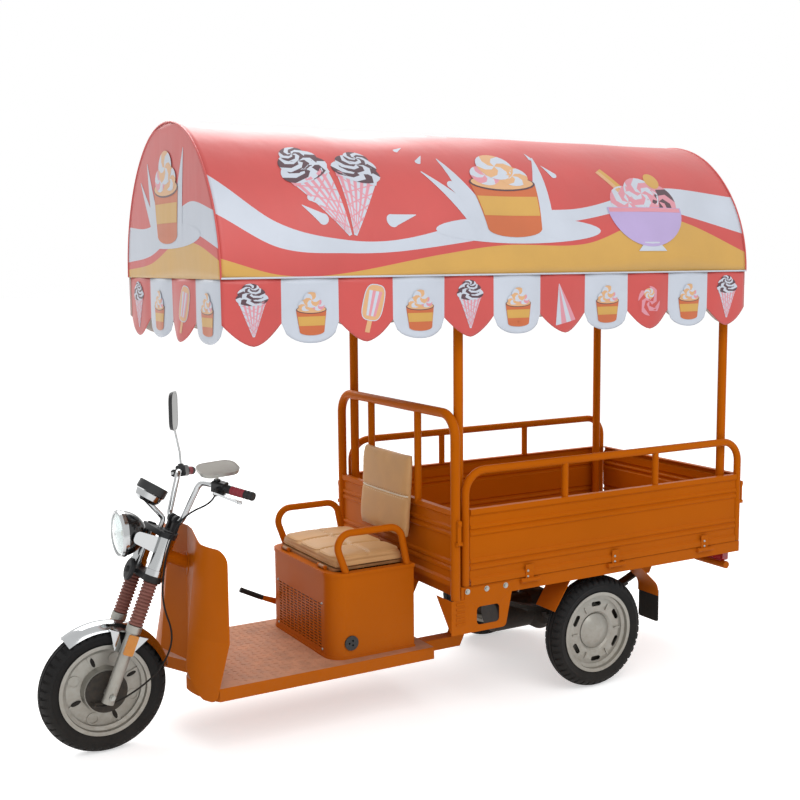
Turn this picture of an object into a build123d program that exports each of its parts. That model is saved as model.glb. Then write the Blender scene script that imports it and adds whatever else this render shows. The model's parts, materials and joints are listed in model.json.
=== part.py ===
"""Electric three-wheeled cargo rickshaw with a vaulted canopy, for street food and market trade.

X runs forward, Y to the rider's left and Z up. The origin is on the ground below the middle of
the vehicle's footprint. Every size is in millimetres and every angle in degrees.
"""
import os
from math import asin, atan2, cos, degrees, radians, sin

from build123d import *

os.makedirs("parts", exist_ok=True)

# Stance
wheelbase = 1996
rear_overhang = 773
tail_reach = 16.5
tyre_radius = 239
tyre_width = 90
rim_radius = 172
rim_width = 76
rear_track = 810
rake = 22.4

# Cargo box
box_length = 1482
box_width = 980
bed_height = 548
bed_sheet = 3
sill_depth = 48
sill_width = 30
panel_height = 302
panel_depth = 24
panel_sheet = 2.5
panel_lip = 20
panel_recess = 9
panel_rib = 6
panel_gap = 3
rail_tube = 32
rail_height = 467
rail_bend = 90
rail_upright_tube = 28
headboard_tube = 38
headboard_height = 677
headboard_bend = 90
headboard_upright_tube = 30
headboard_upright_y = 195
hinge_pin = 10
hinge_knuckle = 18
hinge_knuckle_length = 39
hinge_drop = 10
latch_length = 92
latch_width = 16
latch_thickness = 9
latch_pin = 6

# Canopy
canopy_length = 2426
canopy_overhang = 23
canopy_stilt = 54
canopy_crown_inset = 53
canopy_eave = 1754
canopy_rear_setback = 34
canopy_skin = 3
post_tube = 38
post_inset = 58
post_rear_setback = 79
post_front_setback = 12
eave_tube = 25
cross_tube = 22
arch_tube = 22
arch_count = 6
valance_drop = 225
valance_notch = 153
valance_fold = 7
side_flaps = 11
end_flaps = 4

# Seat
seat_setback = 111
seat_length = 366
seat_width = 586
seat_height = 341
seat_wall = 5
seat_corner = 70
seat_rim = 30
lid_thickness = 10
lid_pin = 8
cushion_width = 516
cushion_length = 330
cushion_height = 60
backrest_width = 404
backrest_height = 346
backrest_thickness = 34
armrest_tube = 28
armrest_height = 154
armrest_bend = 55

# Floor, shield and frame
floor_height = 277
floor_edge = 48
floor_sheet = 3
floor_width = 686
floor_setback = 48
shield_sheet = 4
shield_top = 815
shield_wing_top = 783
shield_fold_y = 143
shield_edge_back = 369
shield_fold_back = 287
shield_keel_back = 337
shield_toe = 55
beam_width = 60
beam_depth = 45
beam_y = 230
upper_beam_depth = 53
head_tube = 58
down_tube = 50

# Fork and bars
fork_spread = 190
fork_offset = 45
stanchion = 33
slider = 46
slider_top = 268
gaiter_top = 437
gaiter_tube = 56
gaiter_ribs = 13
cover_tube = 58
yoke_thickness = 24
yoke_span = 145
stem = 30
top_yoke = 20
bar_tube = 22
bar_rise = 156
bar_height = 47
grip_length = 118
grip_tube = 33
front_axle_rod = 14

# Running clearances
fit = 0.05
seat_gap = 0.3
swing_gap = 1

# Places worked out from the sizes above
vehicle_length = tail_reach + rear_overhang + wheelbase + tyre_radius
box_rear = tail_reach - vehicle_length / 2
box_front = box_rear + box_length
box_side = box_width / 2
canopy_width = box_width + 2 * canopy_overhang
rear_axle_x = box_rear + rear_overhang
front_axle_x = rear_axle_x + wheelbase
axle_z = tyre_radius
wheel_y = rear_track / 2
sill_side = box_side - 4
panel_bottom = bed_height + panel_gap
panel_top = panel_bottom + panel_height
latch_pin_z = panel_bottom + 0.58 * panel_height
rail_axis_z = panel_bottom + rail_height - rail_tube / 2
rail_y = box_side - rail_tube / 2
headboard_x = box_front + 11 + headboard_tube / 2
headboard_y = box_side + 4 - headboard_tube / 2
bed_front = headboard_x - headboard_tube / 2 - seat_gap
bed_rear = box_rear + 4
post_y = box_side - post_inset
post_front_x = box_front - post_front_setback
post_rear_x = box_rear + post_rear_setback
canopy_rear = box_rear + canopy_rear_setback
canopy_front = canopy_rear + canopy_length
eave_y = canopy_width / 2
canopy_rise = eave_y + canopy_stilt
canopy_crown_radius = eave_y - canopy_crown_inset
seat_rear = box_front + seat_setback
seat_front = seat_rear + seat_length
seat_top = floor_height + seat_height
floor_rear = box_front + floor_setback
floor_y = floor_width / 2
shield_edge_x = front_axle_x - shield_edge_back
shield_fold_x = front_axle_x - shield_fold_back
shield_keel_x = front_axle_x - shield_keel_back
beam_top = floor_height - floor_sheet
beam_front = shield_keel_x - 20
bed_beam_top = bed_height - sill_depth
leg_y = fork_spread / 2
top_yoke_low = gaiter_top + yoke_thickness + yoke_span
top_yoke_high = top_yoke_low + top_yoke
sides = (1, -1)

fork = Plane(
    origin=(front_axle_x, 0, axle_z),
    x_dir=(cos(radians(rake)), 0, sin(radians(rake))),
    z_dir=(-sin(radians(rake)), 0, cos(radians(rake))),
)


def on_fork(forward, left, up):
    """Point measured along the fork: ahead of its legs, to the left, and up from the axle."""
    return fork.from_local_coords((forward, left, up))


def save(builder, name):
    """Label a finished piece and write it."""
    builder.part.label = name
    export_step(builder.part, f"parts/{name}.step")


def lay_tube(points, bend, diameter):
    """Round tube or rod of straight runs joined by tangent bends, added to the open part."""
    with BuildLine() as path:
        if len(points) > 2:
            FilletPolyline(*points, radius=bend)
        else:
            Line(*points)
    with BuildSketch(Plane(path.line @ 0, z_dir=path.line % 0)) as section:
        Circle(diameter / 2)
    sweep(sections=section.sketch, path=path.line)


def lay_strip(plane, points, bend, thickness, width):
    """Bent sheet: a line of runs and bends given its thickness and drawn out by its width."""
    with BuildSketch(plane) as section:
        with BuildLine() as path:
            if bend:
                FilletPolyline(*points, radius=bend)
            else:
                Polyline(*points)
            offset(amount=thickness, side=Side.LEFT)
        make_face()
    extrude(to_extrude=section.sketch, amount=width)


def add_block(low, high, mode=Mode.ADD):
    """Rectangular block between two opposite corners."""
    middle = [(a + b) / 2 for a, b in zip(low, high)]
    with Locations(tuple(middle)):
        Box(*[b - a for a, b in zip(low, high)], mode=mode)


def pressed_panel_line(depth):
    """Section of a pressed cargo panel: inner lip, outer lip, recessed field and two rib pairs."""
    field = depth - panel_recess
    ridge = field + panel_rib
    line = [(0, 0), (depth, 0), (depth, panel_lip), (field, panel_lip + panel_recess)]
    for share in (0.27, 0.72):
        for step in (-1, 1):
            middle = panel_height * share + step * 13
            line += [(field, middle - 11), (ridge, middle - 5), (ridge, middle + 5), (field, middle + 11)]
    line += [(field, panel_height - panel_lip - panel_recess), (depth, panel_height - panel_lip)]
    line += [(depth, panel_height), (0, panel_height)]
    return line


def turn_profile(plane, points, axis, mode=Mode.ADD):
    """Turned piece: a closed half section spun right round its axis."""
    with BuildSketch(plane) as section:
        with BuildLine():
            Polyline(*points, close=True)
        make_face()
    revolve(profiles=section.sketch, axis=axis, mode=mode)


def wheel_plane(x, y):
    """Plane through a wheel's middle whose first measure runs outward along Y and second up."""
    return Plane(origin=(x, y, axle_z), x_dir=(0, 1, 0), z_dir=(1, 0, 0))


# Chassis

kick_front = floor_rear - 175
kick_rear = kick_front - 110
kick_lead = 24
kick_low = beam_top - beam_depth
upper_low = bed_beam_top - upper_beam_depth
beam_rear = box_rear + 25
head_low = gaiter_top + yoke_thickness + 6
head_high = top_yoke_low - 6
neck_low = on_fork(-fork_offset, 0, (head_low + head_high) / 2)
cup_length = 15
spring_eye_z = 415
spring_front_x = rear_axle_x + 425
spring_rear_x = rear_axle_x - 425
hanger_width = 60
spring_pin = 16
bumper_z = 425
bumper_tube = 34

with BuildPart() as chassis_frame:
    for side in sides:
        with BuildSketch(Plane.XZ.offset(-side * beam_y)) as beam_side:
            with BuildLine():
                Polyline(
                    (beam_front, beam_top),
                    (beam_front, kick_low),
                    (kick_front, kick_low),
                    (kick_rear, upper_low),
                    (beam_rear, upper_low),
                    (beam_rear, bed_beam_top),
                    (kick_rear + kick_lead, bed_beam_top),
                    (kick_front + kick_lead, beam_top),
                    close=True,
                )
            make_face()
        extrude(amount=beam_width / 2, both=True)
        for eye_x in (spring_front_x, spring_rear_x):
            with BuildSketch(Plane.XZ.offset(-side * beam_y)) as hanger:
                with BuildLine():
                    Polyline(
                        (eye_x - 45, upper_low),
                        (eye_x + 45, upper_low),
                        (eye_x + 18, spring_eye_z - 22),
                        (eye_x - 18, spring_eye_z - 22),
                        close=True,
                    )
                make_face()
            extrude(amount=hanger_width / 2, both=True)
            add_block(
                (eye_x - 60, side * beam_y - 26, spring_eye_z - 30),
                (eye_x + 60, side * beam_y + 26, spring_eye_z + 22),
                mode=Mode.SUBTRACT,
            )
            with Locations((eye_x, side * beam_y, spring_eye_z)):
                Cylinder(spring_pin / 2, hanger_width, rotation=(90, 0, 0))
    for cross_x in (beam_front - 25, seat_front - 40, floor_rear + 40):
        add_block((cross_x - 20, -beam_y, kick_low), (cross_x + 20, beam_y, beam_top))
    for cross_x in (kick_rear - 60, rear_axle_x + 240, rear_axle_x - 330, beam_rear + 40):
        add_block((cross_x - 20, -beam_y, upper_low + 8), (cross_x + 20, beam_y, bed_beam_top))
    lay_tube(
        [(beam_front - 25, 0, kick_low + 12), (beam_front - 20, 0, neck_low.Z - 60), tuple(neck_low)],
        70,
        down_tube,
    )
    for side in sides:
        lay_tube(
            [
                (beam_rear + 40, side * beam_y, upper_low + 20),
                (box_rear + 22, side * beam_y, bumper_z),
                (box_rear + 22, side * (box_side - 60), bumper_z),
            ],
            18,
            bumper_tube,
        )
    add_block((box_rear + 12, -beam_y, bumper_z - 14), (box_rear + 32, beam_y, bumper_z + 14))
    with Locations(Location(fork) * Location((-fork_offset, 0, head_low))):
        Cylinder(head_tube / 2, head_high - head_low, align=(Align.CENTER, Align.CENTER, Align.MIN))
    with Locations(Location(fork) * Location((-fork_offset, 0, head_low))):
        Cylinder(
            stem / 2 + fit,
            head_high - head_low,
            align=(Align.CENTER, Align.CENTER, Align.MIN),
            mode=Mode.SUBTRACT,
        )
    with Locations(Location(fork) * Location((-fork_offset, 0, head_low + cup_length))):
        Cylinder(
            stem / 2 + 7,
            head_high - head_low - 2 * cup_length,
            align=(Align.CENTER, Align.CENTER, Align.MIN),
            mode=Mode.SUBTRACT,
        )
save(chassis_frame, "chassis_frame")

# Floorboard and leg shield

shield_low = floor_height - floor_edge
shield_bend_z = 440
shield_lean = 43
shield_fold_toe = 0.4 * shield_toe
shield_bulge = 15
floor_toe = shield_toe * (1 - floor_edge / (shield_bend_z - floor_height + floor_edge))
floor_back = shield_sheet + seat_gap
bulge_way = Vector(shield_bulge, shield_bulge / 2)
floor_corner = Vector(shield_edge_x + floor_toe - floor_back, floor_y)
floor_fold = Vector(shield_fold_x + 0.4 * floor_toe - floor_back, shield_fold_y)
floor_bulge = (floor_corner + floor_fold) / 2 + bulge_way
pedal_x = beam_front - 125
pedal_y = -180
pedal_z = floor_height + 22
pedal_pin = 10

with BuildPart() as floorboard:
    with BuildSketch(Plane.XY.offset(floor_height - floor_edge)):
        with BuildLine():
            ThreePointArc(floor_corner, floor_bulge, floor_fold)
            Polyline(
                floor_fold,
                (shield_keel_x - floor_back, 0),
                (floor_rear, 0),
                (floor_rear, floor_y),
                floor_corner,
            )
        make_face()
        mirror(about=Plane.XZ)
    extrude(amount=floor_edge)
    upper_edges = floorboard.edges().group_by(Axis.Z)[-1]
    fillet(upper_edges.filter_by(Axis.X), 8)
    open_faces = [floorboard.faces().sort_by(Axis.Z)[0], floorboard.faces().sort_by(Axis.X)[0]]
    offset(amount=-floor_sheet, openings=open_faces)
    with Locations((beam_front - 25, 0, floor_height)):
        Cylinder(down_tube / 2 + 1, 40, mode=Mode.SUBTRACT)
    for end in (-1, 1):
        lug_y = pedal_y + end * 10
        add_block(
            (pedal_x - 14, lug_y - 3, floor_height - floor_sheet), (pedal_x + 14, lug_y + 3, pedal_z + 12)
        )
    with Locations((pedal_x, pedal_y, pedal_z)):
        Cylinder(pedal_pin / 2, 26, rotation=(90, 0, 0))
save(floorboard, "floorboard")

with BuildPart() as leg_shield:
    for height, toe, fold_toe, lean in (
        (shield_low, shield_toe, shield_fold_toe, 0),
        (shield_bend_z, 0, 0, 0),
        (shield_top, 0, 0, shield_lean),
    ):
        edge = Vector(shield_edge_x + toe, floor_y)
        fold = Vector(shield_fold_x + fold_toe - lean, shield_fold_y)
        keel = Vector(shield_keel_x - lean * 0.2, 0)
        bulge = (edge + fold) / 2 + bulge_way
        back = Vector(-shield_sheet, 0)
        with BuildSketch(Plane.XY.offset(height)):
            with BuildLine():
                ThreePointArc(edge, bulge, fold)
                Line(fold, keel)
                Line(keel, keel + back)
                Line(keel + back, fold + back)
                ThreePointArc(fold + back, bulge + back, edge + back)
                Line(edge + back, edge)
            make_face()
    loft(ruled=True)
    mirror(about=Plane.XZ)
    with BuildSketch(Plane.YZ.offset(shield_edge_x - 100)):
        with BuildLine():
            FilletPolyline(
                (0, shield_top),
                (62, shield_top),
                (190, shield_wing_top),
                (floor_y, shield_wing_top),
                (floor_y, shield_low),
                (floor_y - 60, shield_low),
                (shield_fold_y + 10, shield_low + 78),
                (0, shield_low + 55),
                radius=(20, 60, 52, 20, 45, 30),
            )
            Line((0, shield_low + 55), (0, shield_top))
        make_face()
        mirror(about=Plane.YZ)
    extrude(amount=400, mode=Mode.INTERSECT)
    with BuildSketch(Plane.YZ.offset(shield_keel_x - 100)) as neck_hole:
        with Locations((0, neck_low.Z - down_tube * 0.92)):
            SlotOverall(down_tube + 26, down_tube + 12, rotation=90)
    extrude(to_extrude=neck_hole.sketch, amount=200, mode=Mode.SUBTRACT)
save(leg_shield, "leg_shield")

# Seat box, its fittings and what it holds

vent_width = 430
vent_height = 200
vent_low = floor_height + 20
vent_plate = 2.5
vent_slots = (11, 16)
vent_slot = (28, 5)
socket_x = seat_front - 83
socket_z = floor_height + 63
socket_hole = 42
lid_pin_x = seat_rear + 345
lid_pin_z = seat_top + 9
lid_knuckle = 15
lid_hinge_y = 170
lid_hinge_length = 40
parking_x = seat_front - 62
parking_z = floor_height + 75
parking_pin = 12

with BuildPart() as seat_box:
    with BuildSketch(Plane.XY.offset(floor_height)) as seat_plan:
        with Locations(((seat_rear + seat_front) / 2, 0)):
            Rectangle(seat_length, seat_width)
        fillet(seat_plan.vertices().group_by(Axis.X)[-1], seat_corner)
    extrude(amount=seat_height)
    for bead_z, bead_height in ((floor_height, 9), (seat_top - 14, 14)):
        with BuildSketch(Plane.XY.offset(bead_z)) as bead:
            add(seat_plan.sketch.faces()[0].moved(Location((0, 0, bead_z - floor_height))))
            offset(amount=3, kind=Kind.INTERSECTION)
        extrude(amount=bead_height)
    with BuildSketch(Plane.XY.offset(floor_height)) as hollow:
        add(seat_plan.sketch.faces()[0])
        offset(amount=-seat_wall)
    extrude(amount=seat_height - seat_wall, mode=Mode.SUBTRACT)
    with BuildSketch(Plane.XY.offset(floor_height)) as mouth:
        add(seat_plan.sketch.faces()[0])
        offset(amount=-seat_rim)
    extrude(amount=seat_height, mode=Mode.SUBTRACT)
    add_block(
        (seat_front - vent_plate, -vent_width / 2, vent_low),
        (seat_front + 10, vent_width / 2, vent_low + vent_height),
        mode=Mode.SUBTRACT,
    )
    add_block(
        (seat_front - seat_wall - 10, -vent_width / 2 + 12, vent_low + 12),
        (seat_front + 10, vent_width / 2 - 12, vent_low + vent_height - 12),
        mode=Mode.SUBTRACT,
    )
    with Locations((socket_x, seat_width / 2, socket_z)):
        Cylinder(socket_hole / 2 + seat_gap, 40, rotation=(90, 0, 0), mode=Mode.SUBTRACT)
    for side in sides:
        for end in (-1, 1):
            lug_y = side * lid_hinge_y + end * (lid_hinge_length + 12) / 2
            with Locations((lid_pin_x, lug_y, lid_pin_z)):
                Cylinder(lid_knuckle / 2, 11, rotation=(90, 0, 0))
            add_block(
                (lid_pin_x - 4, lug_y - 5.5, seat_top - seat_wall), (lid_pin_x + 4, lug_y + 5.5, lid_pin_z)
            )
        with Locations((lid_pin_x, side * lid_hinge_y, lid_pin_z)):
            Cylinder(lid_pin / 2, lid_hinge_length + 22, rotation=(90, 0, 0))
    with Locations((parking_x, -seat_width / 2 + seat_wall / 2, parking_z)):
        Cylinder(parking_pin / 2, 17, rotation=(90, 0, 0), align=(Align.CENTER, Align.CENTER, Align.MIN))
    with Locations((parking_x, -seat_width / 2 - 13, parking_z)):
        Cylinder(11, 5, rotation=(90, 0, 0), align=(Align.CENTER, Align.CENTER, Align.MIN))
save(seat_box, "seat_box")

with BuildPart() as vent_panel:
    add_block(
        (seat_front - vent_plate, -vent_width / 2, vent_low),
        (seat_front - seat_gap, vent_width / 2, vent_low + vent_height),
    )
    with BuildSketch(Plane.YZ.offset(seat_front - vent_plate)):
        with Locations((0, vent_low + vent_height / 2)):
            with GridLocations(vent_slot[0] + 9, vent_slot[1] + 6.5, *vent_slots):
                Rectangle(*vent_slot)
    extrude(amount=vent_plate, mode=Mode.SUBTRACT)
save(vent_panel, "vent_panel")

with BuildPart() as charge_socket:
    with Locations((socket_x, seat_width / 2 + 2, socket_z)):
        Cylinder(
            socket_hole / 2,
            36,
            rotation=(90, 0, 0),
            align=(Align.CENTER, Align.CENTER, Align.MIN),
        )
    with Locations((socket_x, seat_width / 2 + seat_gap, socket_z)):
        Cylinder(29, 5, rotation=(-90, 0, 0), align=(Align.CENTER, Align.CENTER, Align.MIN))
    with BuildSketch(Plane.XZ.offset(-seat_width / 2 - 6)):
        with Locations((socket_x, socket_z)):
            with PolarLocations(10, 3):
                Circle(4)
    extrude(amount=18, mode=Mode.SUBTRACT)
save(charge_socket, "charge_socket")

battery_size = (150, 255, 196)
battery_gap = 8

with BuildPart() as batteries_and_controller:
    for row in (0, 1):
        for side in sides:
            low_x = seat_rear + seat_wall + 12 + row * (battery_size[0] + battery_gap)
            middle_y = side * (battery_size[1] + battery_gap) / 2
            with Locations((low_x + battery_size[0] / 2, middle_y, floor_height)):
                Box(*battery_size, align=(Align.CENTER, Align.CENTER, Align.MIN))
            with Locations((low_x + battery_size[0] / 2, middle_y, floor_height + battery_size[2])):
                with GridLocations(0, battery_size[1] - 50, 1, 2):
                    Cylinder(8, 14, align=(Align.CENTER, Align.CENTER, Align.MIN))
    controller_z = floor_height + battery_size[2] + 40
    controller_x = seat_rear + seat_wall
    add_block((controller_x, -100, controller_z), (controller_x + 20, 100, controller_z + 70))
    for fin in range(8):
        fin_y = -91 + fin * 26
        add_block(
            (controller_x + 20, fin_y - 4, controller_z),
            (controller_x + 44, fin_y + 4, controller_z + 70),
        )
save(batteries_and_controller, "batteries_and_controller")

armrest_y = seat_width / 2 - armrest_tube / 2
armrest_rear = seat_rear + 24

with BuildPart() as armrests:
    for side in sides:
        lay_tube(
            [
                (seat_rear + 296, side * armrest_y, seat_top + seat_gap),
                (seat_rear + 352, side * armrest_y, seat_top + armrest_height),
                (seat_rear + 54, side * armrest_y, seat_top + armrest_height),
                (armrest_rear, side * armrest_y, seat_top + seat_gap),
            ],
            armrest_bend,
            armrest_tube,
        )
    add_block(
        (seat_rear - 60, -seat_width, seat_top - 60),
        (seat_front + 60, seat_width, seat_top + seat_gap),
        mode=Mode.SUBTRACT,
    )
save(armrests, "armrests")

# Seat lid, cushion and backrest

lid_rear = seat_rear + 12
lid_bottom = seat_top + seat_gap
lid_top = lid_bottom + lid_thickness

with BuildPart() as seat_base:
    add_block(
        (lid_rear, -cushion_width / 2 + 12, lid_bottom),
        (lid_pin_x - lid_knuckle / 2 - swing_gap, cushion_width / 2 - 12, lid_top),
    )
    fillet(seat_base.edges().filter_by(Axis.Z), 24)
    for side in sides:
        add_block(
            (lid_pin_x - 30, side * lid_hinge_y - lid_hinge_length / 2 + 0.5, lid_bottom + 2),
            (lid_pin_x, side * lid_hinge_y + lid_hinge_length / 2 - 0.5, lid_top),
        )
        with Locations((lid_pin_x, side * lid_hinge_y, lid_pin_z)):
            Cylinder(lid_knuckle / 2, lid_hinge_length - 1, rotation=(90, 0, 0))
            Cylinder(lid_pin / 2 + fit, lid_hinge_length, rotation=(90, 0, 0), mode=Mode.SUBTRACT)
save(seat_base, "seat_base")

cushion_low = lid_top + seat_gap
cushion_rear = seat_rear + 10
cushion_panels = 3
cushion_steps = 4


def pad_swell(share, panels):
    """How full a padded row is at a share of its length: low at each seam, full between."""
    place = share * panels % 1 if share < 1 else 1
    seam = abs(2 * place - 1) ** 4
    edge = abs(2 * share - 1) ** 8
    return 1 - 0.16 * seam - 0.2 * edge


with BuildPart() as seat_cushion:
    for step in range(cushion_panels * cushion_steps + 1):
        share = step / (cushion_panels * cushion_steps)
        swell = pad_swell(share, cushion_panels)
        pull = 10 * abs(2 * share - 1) ** 6
        low_x = cushion_rear + pull
        high_x = cushion_rear + cushion_length - pull
        middle_x = (low_x + high_x) / 2
        shoulder = cushion_low + cushion_height * swell * 0.72
        crown = cushion_low + cushion_height * swell
        waist = (cushion_low + shoulder) / 2
        with BuildSketch(Plane.XZ.offset(cushion_width / 2 - cushion_width * share)):
            with BuildLine():
                Line((low_x + 8, cushion_low), (high_x - 8, cushion_low))
                ThreePointArc((high_x - 8, cushion_low), (high_x, waist), (high_x - 6, shoulder))
                ThreePointArc((high_x - 6, shoulder), (middle_x, crown), (low_x + 6, shoulder))
                ThreePointArc((low_x + 6, shoulder), (low_x, waist), (low_x + 8, cushion_low))
            make_face()
    loft(ruled=True)
save(seat_cushion, "seat_cushion")

backrest_low = seat_top + 72
backrest_lean = 24
backrest_rest_x = headboard_x + headboard_upright_tube / 2 + seat_gap
backrest_foot_x = backrest_rest_x + backrest_thickness + backrest_lean
backrest_panels = 2
backrest_steps = 5

with BuildPart() as backrest_cushion:
    for step in range(backrest_panels * backrest_steps + 1):
        share = step / (backrest_panels * backrest_steps)
        swell = pad_swell(share, backrest_panels)
        front_x = backrest_foot_x - backrest_lean * share
        rear_x = front_x - backrest_thickness
        edge_x = rear_x + backrest_thickness * (0.35 + 0.4 * swell)
        half = backrest_width / 2 - 7 * abs(2 * share - 1) ** 6
        crown_x = rear_x + backrest_thickness * (0.45 + 0.55 * swell)
        with BuildSketch(Plane.XY.offset(backrest_low + backrest_height * share)):
            with BuildLine():
                Line((rear_x, -half + 5), (rear_x, half - 5))
                ThreePointArc((rear_x, half - 5), ((rear_x + edge_x) / 2, half), (edge_x, half - 5))
                ThreePointArc((edge_x, half - 5), (crown_x, 0), (edge_x, -half + 5))
                ThreePointArc((edge_x, -half + 5), ((rear_x + edge_x) / 2, -half), (rear_x, -half + 5))
            make_face()
    loft(ruled=True)
save(backrest_cushion, "backrest_cushion")

# Cargo bed with its hinge pins

side_hinge_x = [box_rear + box_length * share for share in (0.15, 0.49, 0.79)]
side_hinge_y = box_side + 6
tail_hinge_x = box_rear - 6
tail_hinge_y = (-300, 300)
hinge_z = bed_height - hinge_drop
knuckle_gap = 0.5
fixed_knuckle = 25
member_count = 6
member_width = 44
member_y = 320
deck_rise = 2
deck_margin = 40
deck_y = post_y - 36

with BuildPart() as cargo_bed:
    add_block((bed_rear, -sill_side, bed_height - bed_sheet), (bed_front, sill_side, bed_height))
    add_block(
        (bed_rear + deck_margin, -deck_y, bed_height - bed_sheet),
        (bed_front - deck_margin, deck_y, bed_height + deck_rise),
    )
    for side in sides:
        outer = side * sill_side
        add_block(
            (bed_rear, min(outer, outer - side * bed_sheet), bed_beam_top),
            (bed_front, max(outer, outer - side * bed_sheet), bed_height),
        )
        add_block(
            (bed_rear, min(outer, outer - side * sill_width), bed_beam_top),
            (bed_front, max(outer, outer - side * sill_width), bed_beam_top + bed_sheet),
        )
    for end_x in (bed_rear, bed_front - bed_sheet):
        add_block((end_x, -sill_side, bed_beam_top), (end_x + bed_sheet, sill_side, bed_height))
    for member in range(member_count):
        member_x = box_rear + 60 + member * (box_length - 120) / (member_count - 1)
        add_block(
            (member_x - member_width / 2, -member_y, bed_beam_top),
            (member_x + member_width / 2, member_y, bed_height),
        )
        add_block(
            (member_x - member_width / 2 + 4, -member_y, bed_beam_top + 4),
            (member_x + member_width / 2 - 4, member_y, bed_height - bed_sheet),
            mode=Mode.SUBTRACT,
        )
    for hinge_x in side_hinge_x:
        for side in sides:
            for end in (-1, 1):
                knuckle_x = hinge_x + end * (hinge_knuckle_length / 2 + knuckle_gap + fixed_knuckle / 2)
                with Locations((knuckle_x, side * side_hinge_y, hinge_z)):
                    Cylinder(hinge_knuckle / 2, fixed_knuckle, rotation=(0, 90, 0))
                add_block(
                    (knuckle_x - fixed_knuckle / 2, min(side * sill_side, side * side_hinge_y), hinge_z - 8),
                    (knuckle_x + fixed_knuckle / 2, max(side * sill_side, side * side_hinge_y), hinge_z + 4),
                )
            with Locations((hinge_x, side * side_hinge_y, hinge_z)):
                Cylinder(hinge_pin / 2, hinge_knuckle_length + 2 * fixed_knuckle, rotation=(0, 90, 0))
    for hinge_y in tail_hinge_y:
        for end in (-1, 1):
            knuckle_y = hinge_y + end * (hinge_knuckle_length / 2 + knuckle_gap + fixed_knuckle / 2)
            with Locations((tail_hinge_x, knuckle_y, hinge_z)):
                Cylinder(hinge_knuckle / 2, fixed_knuckle, rotation=(90, 0, 0))
            add_block(
                (tail_hinge_x, knuckle_y - fixed_knuckle / 2, hinge_z - 8),
                (bed_rear, knuckle_y + fixed_knuckle / 2, hinge_z + 4),
            )
        with Locations((tail_hinge_x, hinge_y, hinge_z)):
            Cylinder(hinge_pin / 2, hinge_knuckle_length + 2 * fixed_knuckle, rotation=(90, 0, 0))
save(cargo_bed, "cargo_bed")

# Headboard

headboard_top = bed_height + headboard_height
bracket_x = backrest_rest_x + backrest_lean * (backrest_low + backrest_height - panel_top) / backrest_height
latch_pin_y = headboard_y + headboard_tube / 2 + 7

with BuildPart() as headboard:
    lay_tube(
        [
            (headboard_x, headboard_y, bed_beam_top),
            (headboard_x, headboard_y, headboard_top),
            (headboard_x, -headboard_y, headboard_top),
            (headboard_x, -headboard_y, bed_beam_top),
        ],
        headboard_bend,
        headboard_tube,
    )
    for side in sides:
        lay_tube(
            [
                (headboard_x, side * headboard_upright_y, panel_top - 10),
                (headboard_x, side * headboard_upright_y, headboard_top),
            ],
            0,
            headboard_upright_tube,
        )
    lay_strip(
        Plane(
            origin=(headboard_x - panel_depth / 2, headboard_y, panel_bottom),
            x_dir=(1, 0, 0),
            z_dir=(0, -1, 0),
        ),
        pressed_panel_line(panel_depth),
        0,
        panel_sheet,
        2 * headboard_y,
    )
    add_block(
        (headboard_x + panel_depth / 2 - panel_sheet, -45, panel_top - panel_lip),
        (bracket_x, 45, panel_top),
    )
    for side in sides:
        for end in (-1, 1):
            add_block(
                (
                    headboard_x + end * (latch_width / 2 + 3) - 2,
                    min(side * headboard_y, side * (latch_pin_y + 5)),
                    latch_pin_z - 7,
                ),
                (
                    headboard_x + end * (latch_width / 2 + 3) + 2,
                    max(side * headboard_y, side * (latch_pin_y + 5)),
                    latch_pin_z + 7,
                ),
            )
        with Locations((headboard_x, side * latch_pin_y, latch_pin_z)):
            Cylinder(latch_pin / 2, latch_width + 9, rotation=(0, 90, 0))
save(headboard, "headboard")

# Drop sides, their rails and the tailgate

rail_front_x = box_front - rail_tube / 2
rail_rear_x = box_rear + rail_tube / 2
panel_front = rail_front_x - rail_tube / 2 - seat_gap
panel_rear = rail_rear_x + rail_tube / 2 + seat_gap
strap_height = 62
strap_sheet = 4
rear_latch_x = rail_rear_x - rail_tube / 2 - 7

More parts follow.
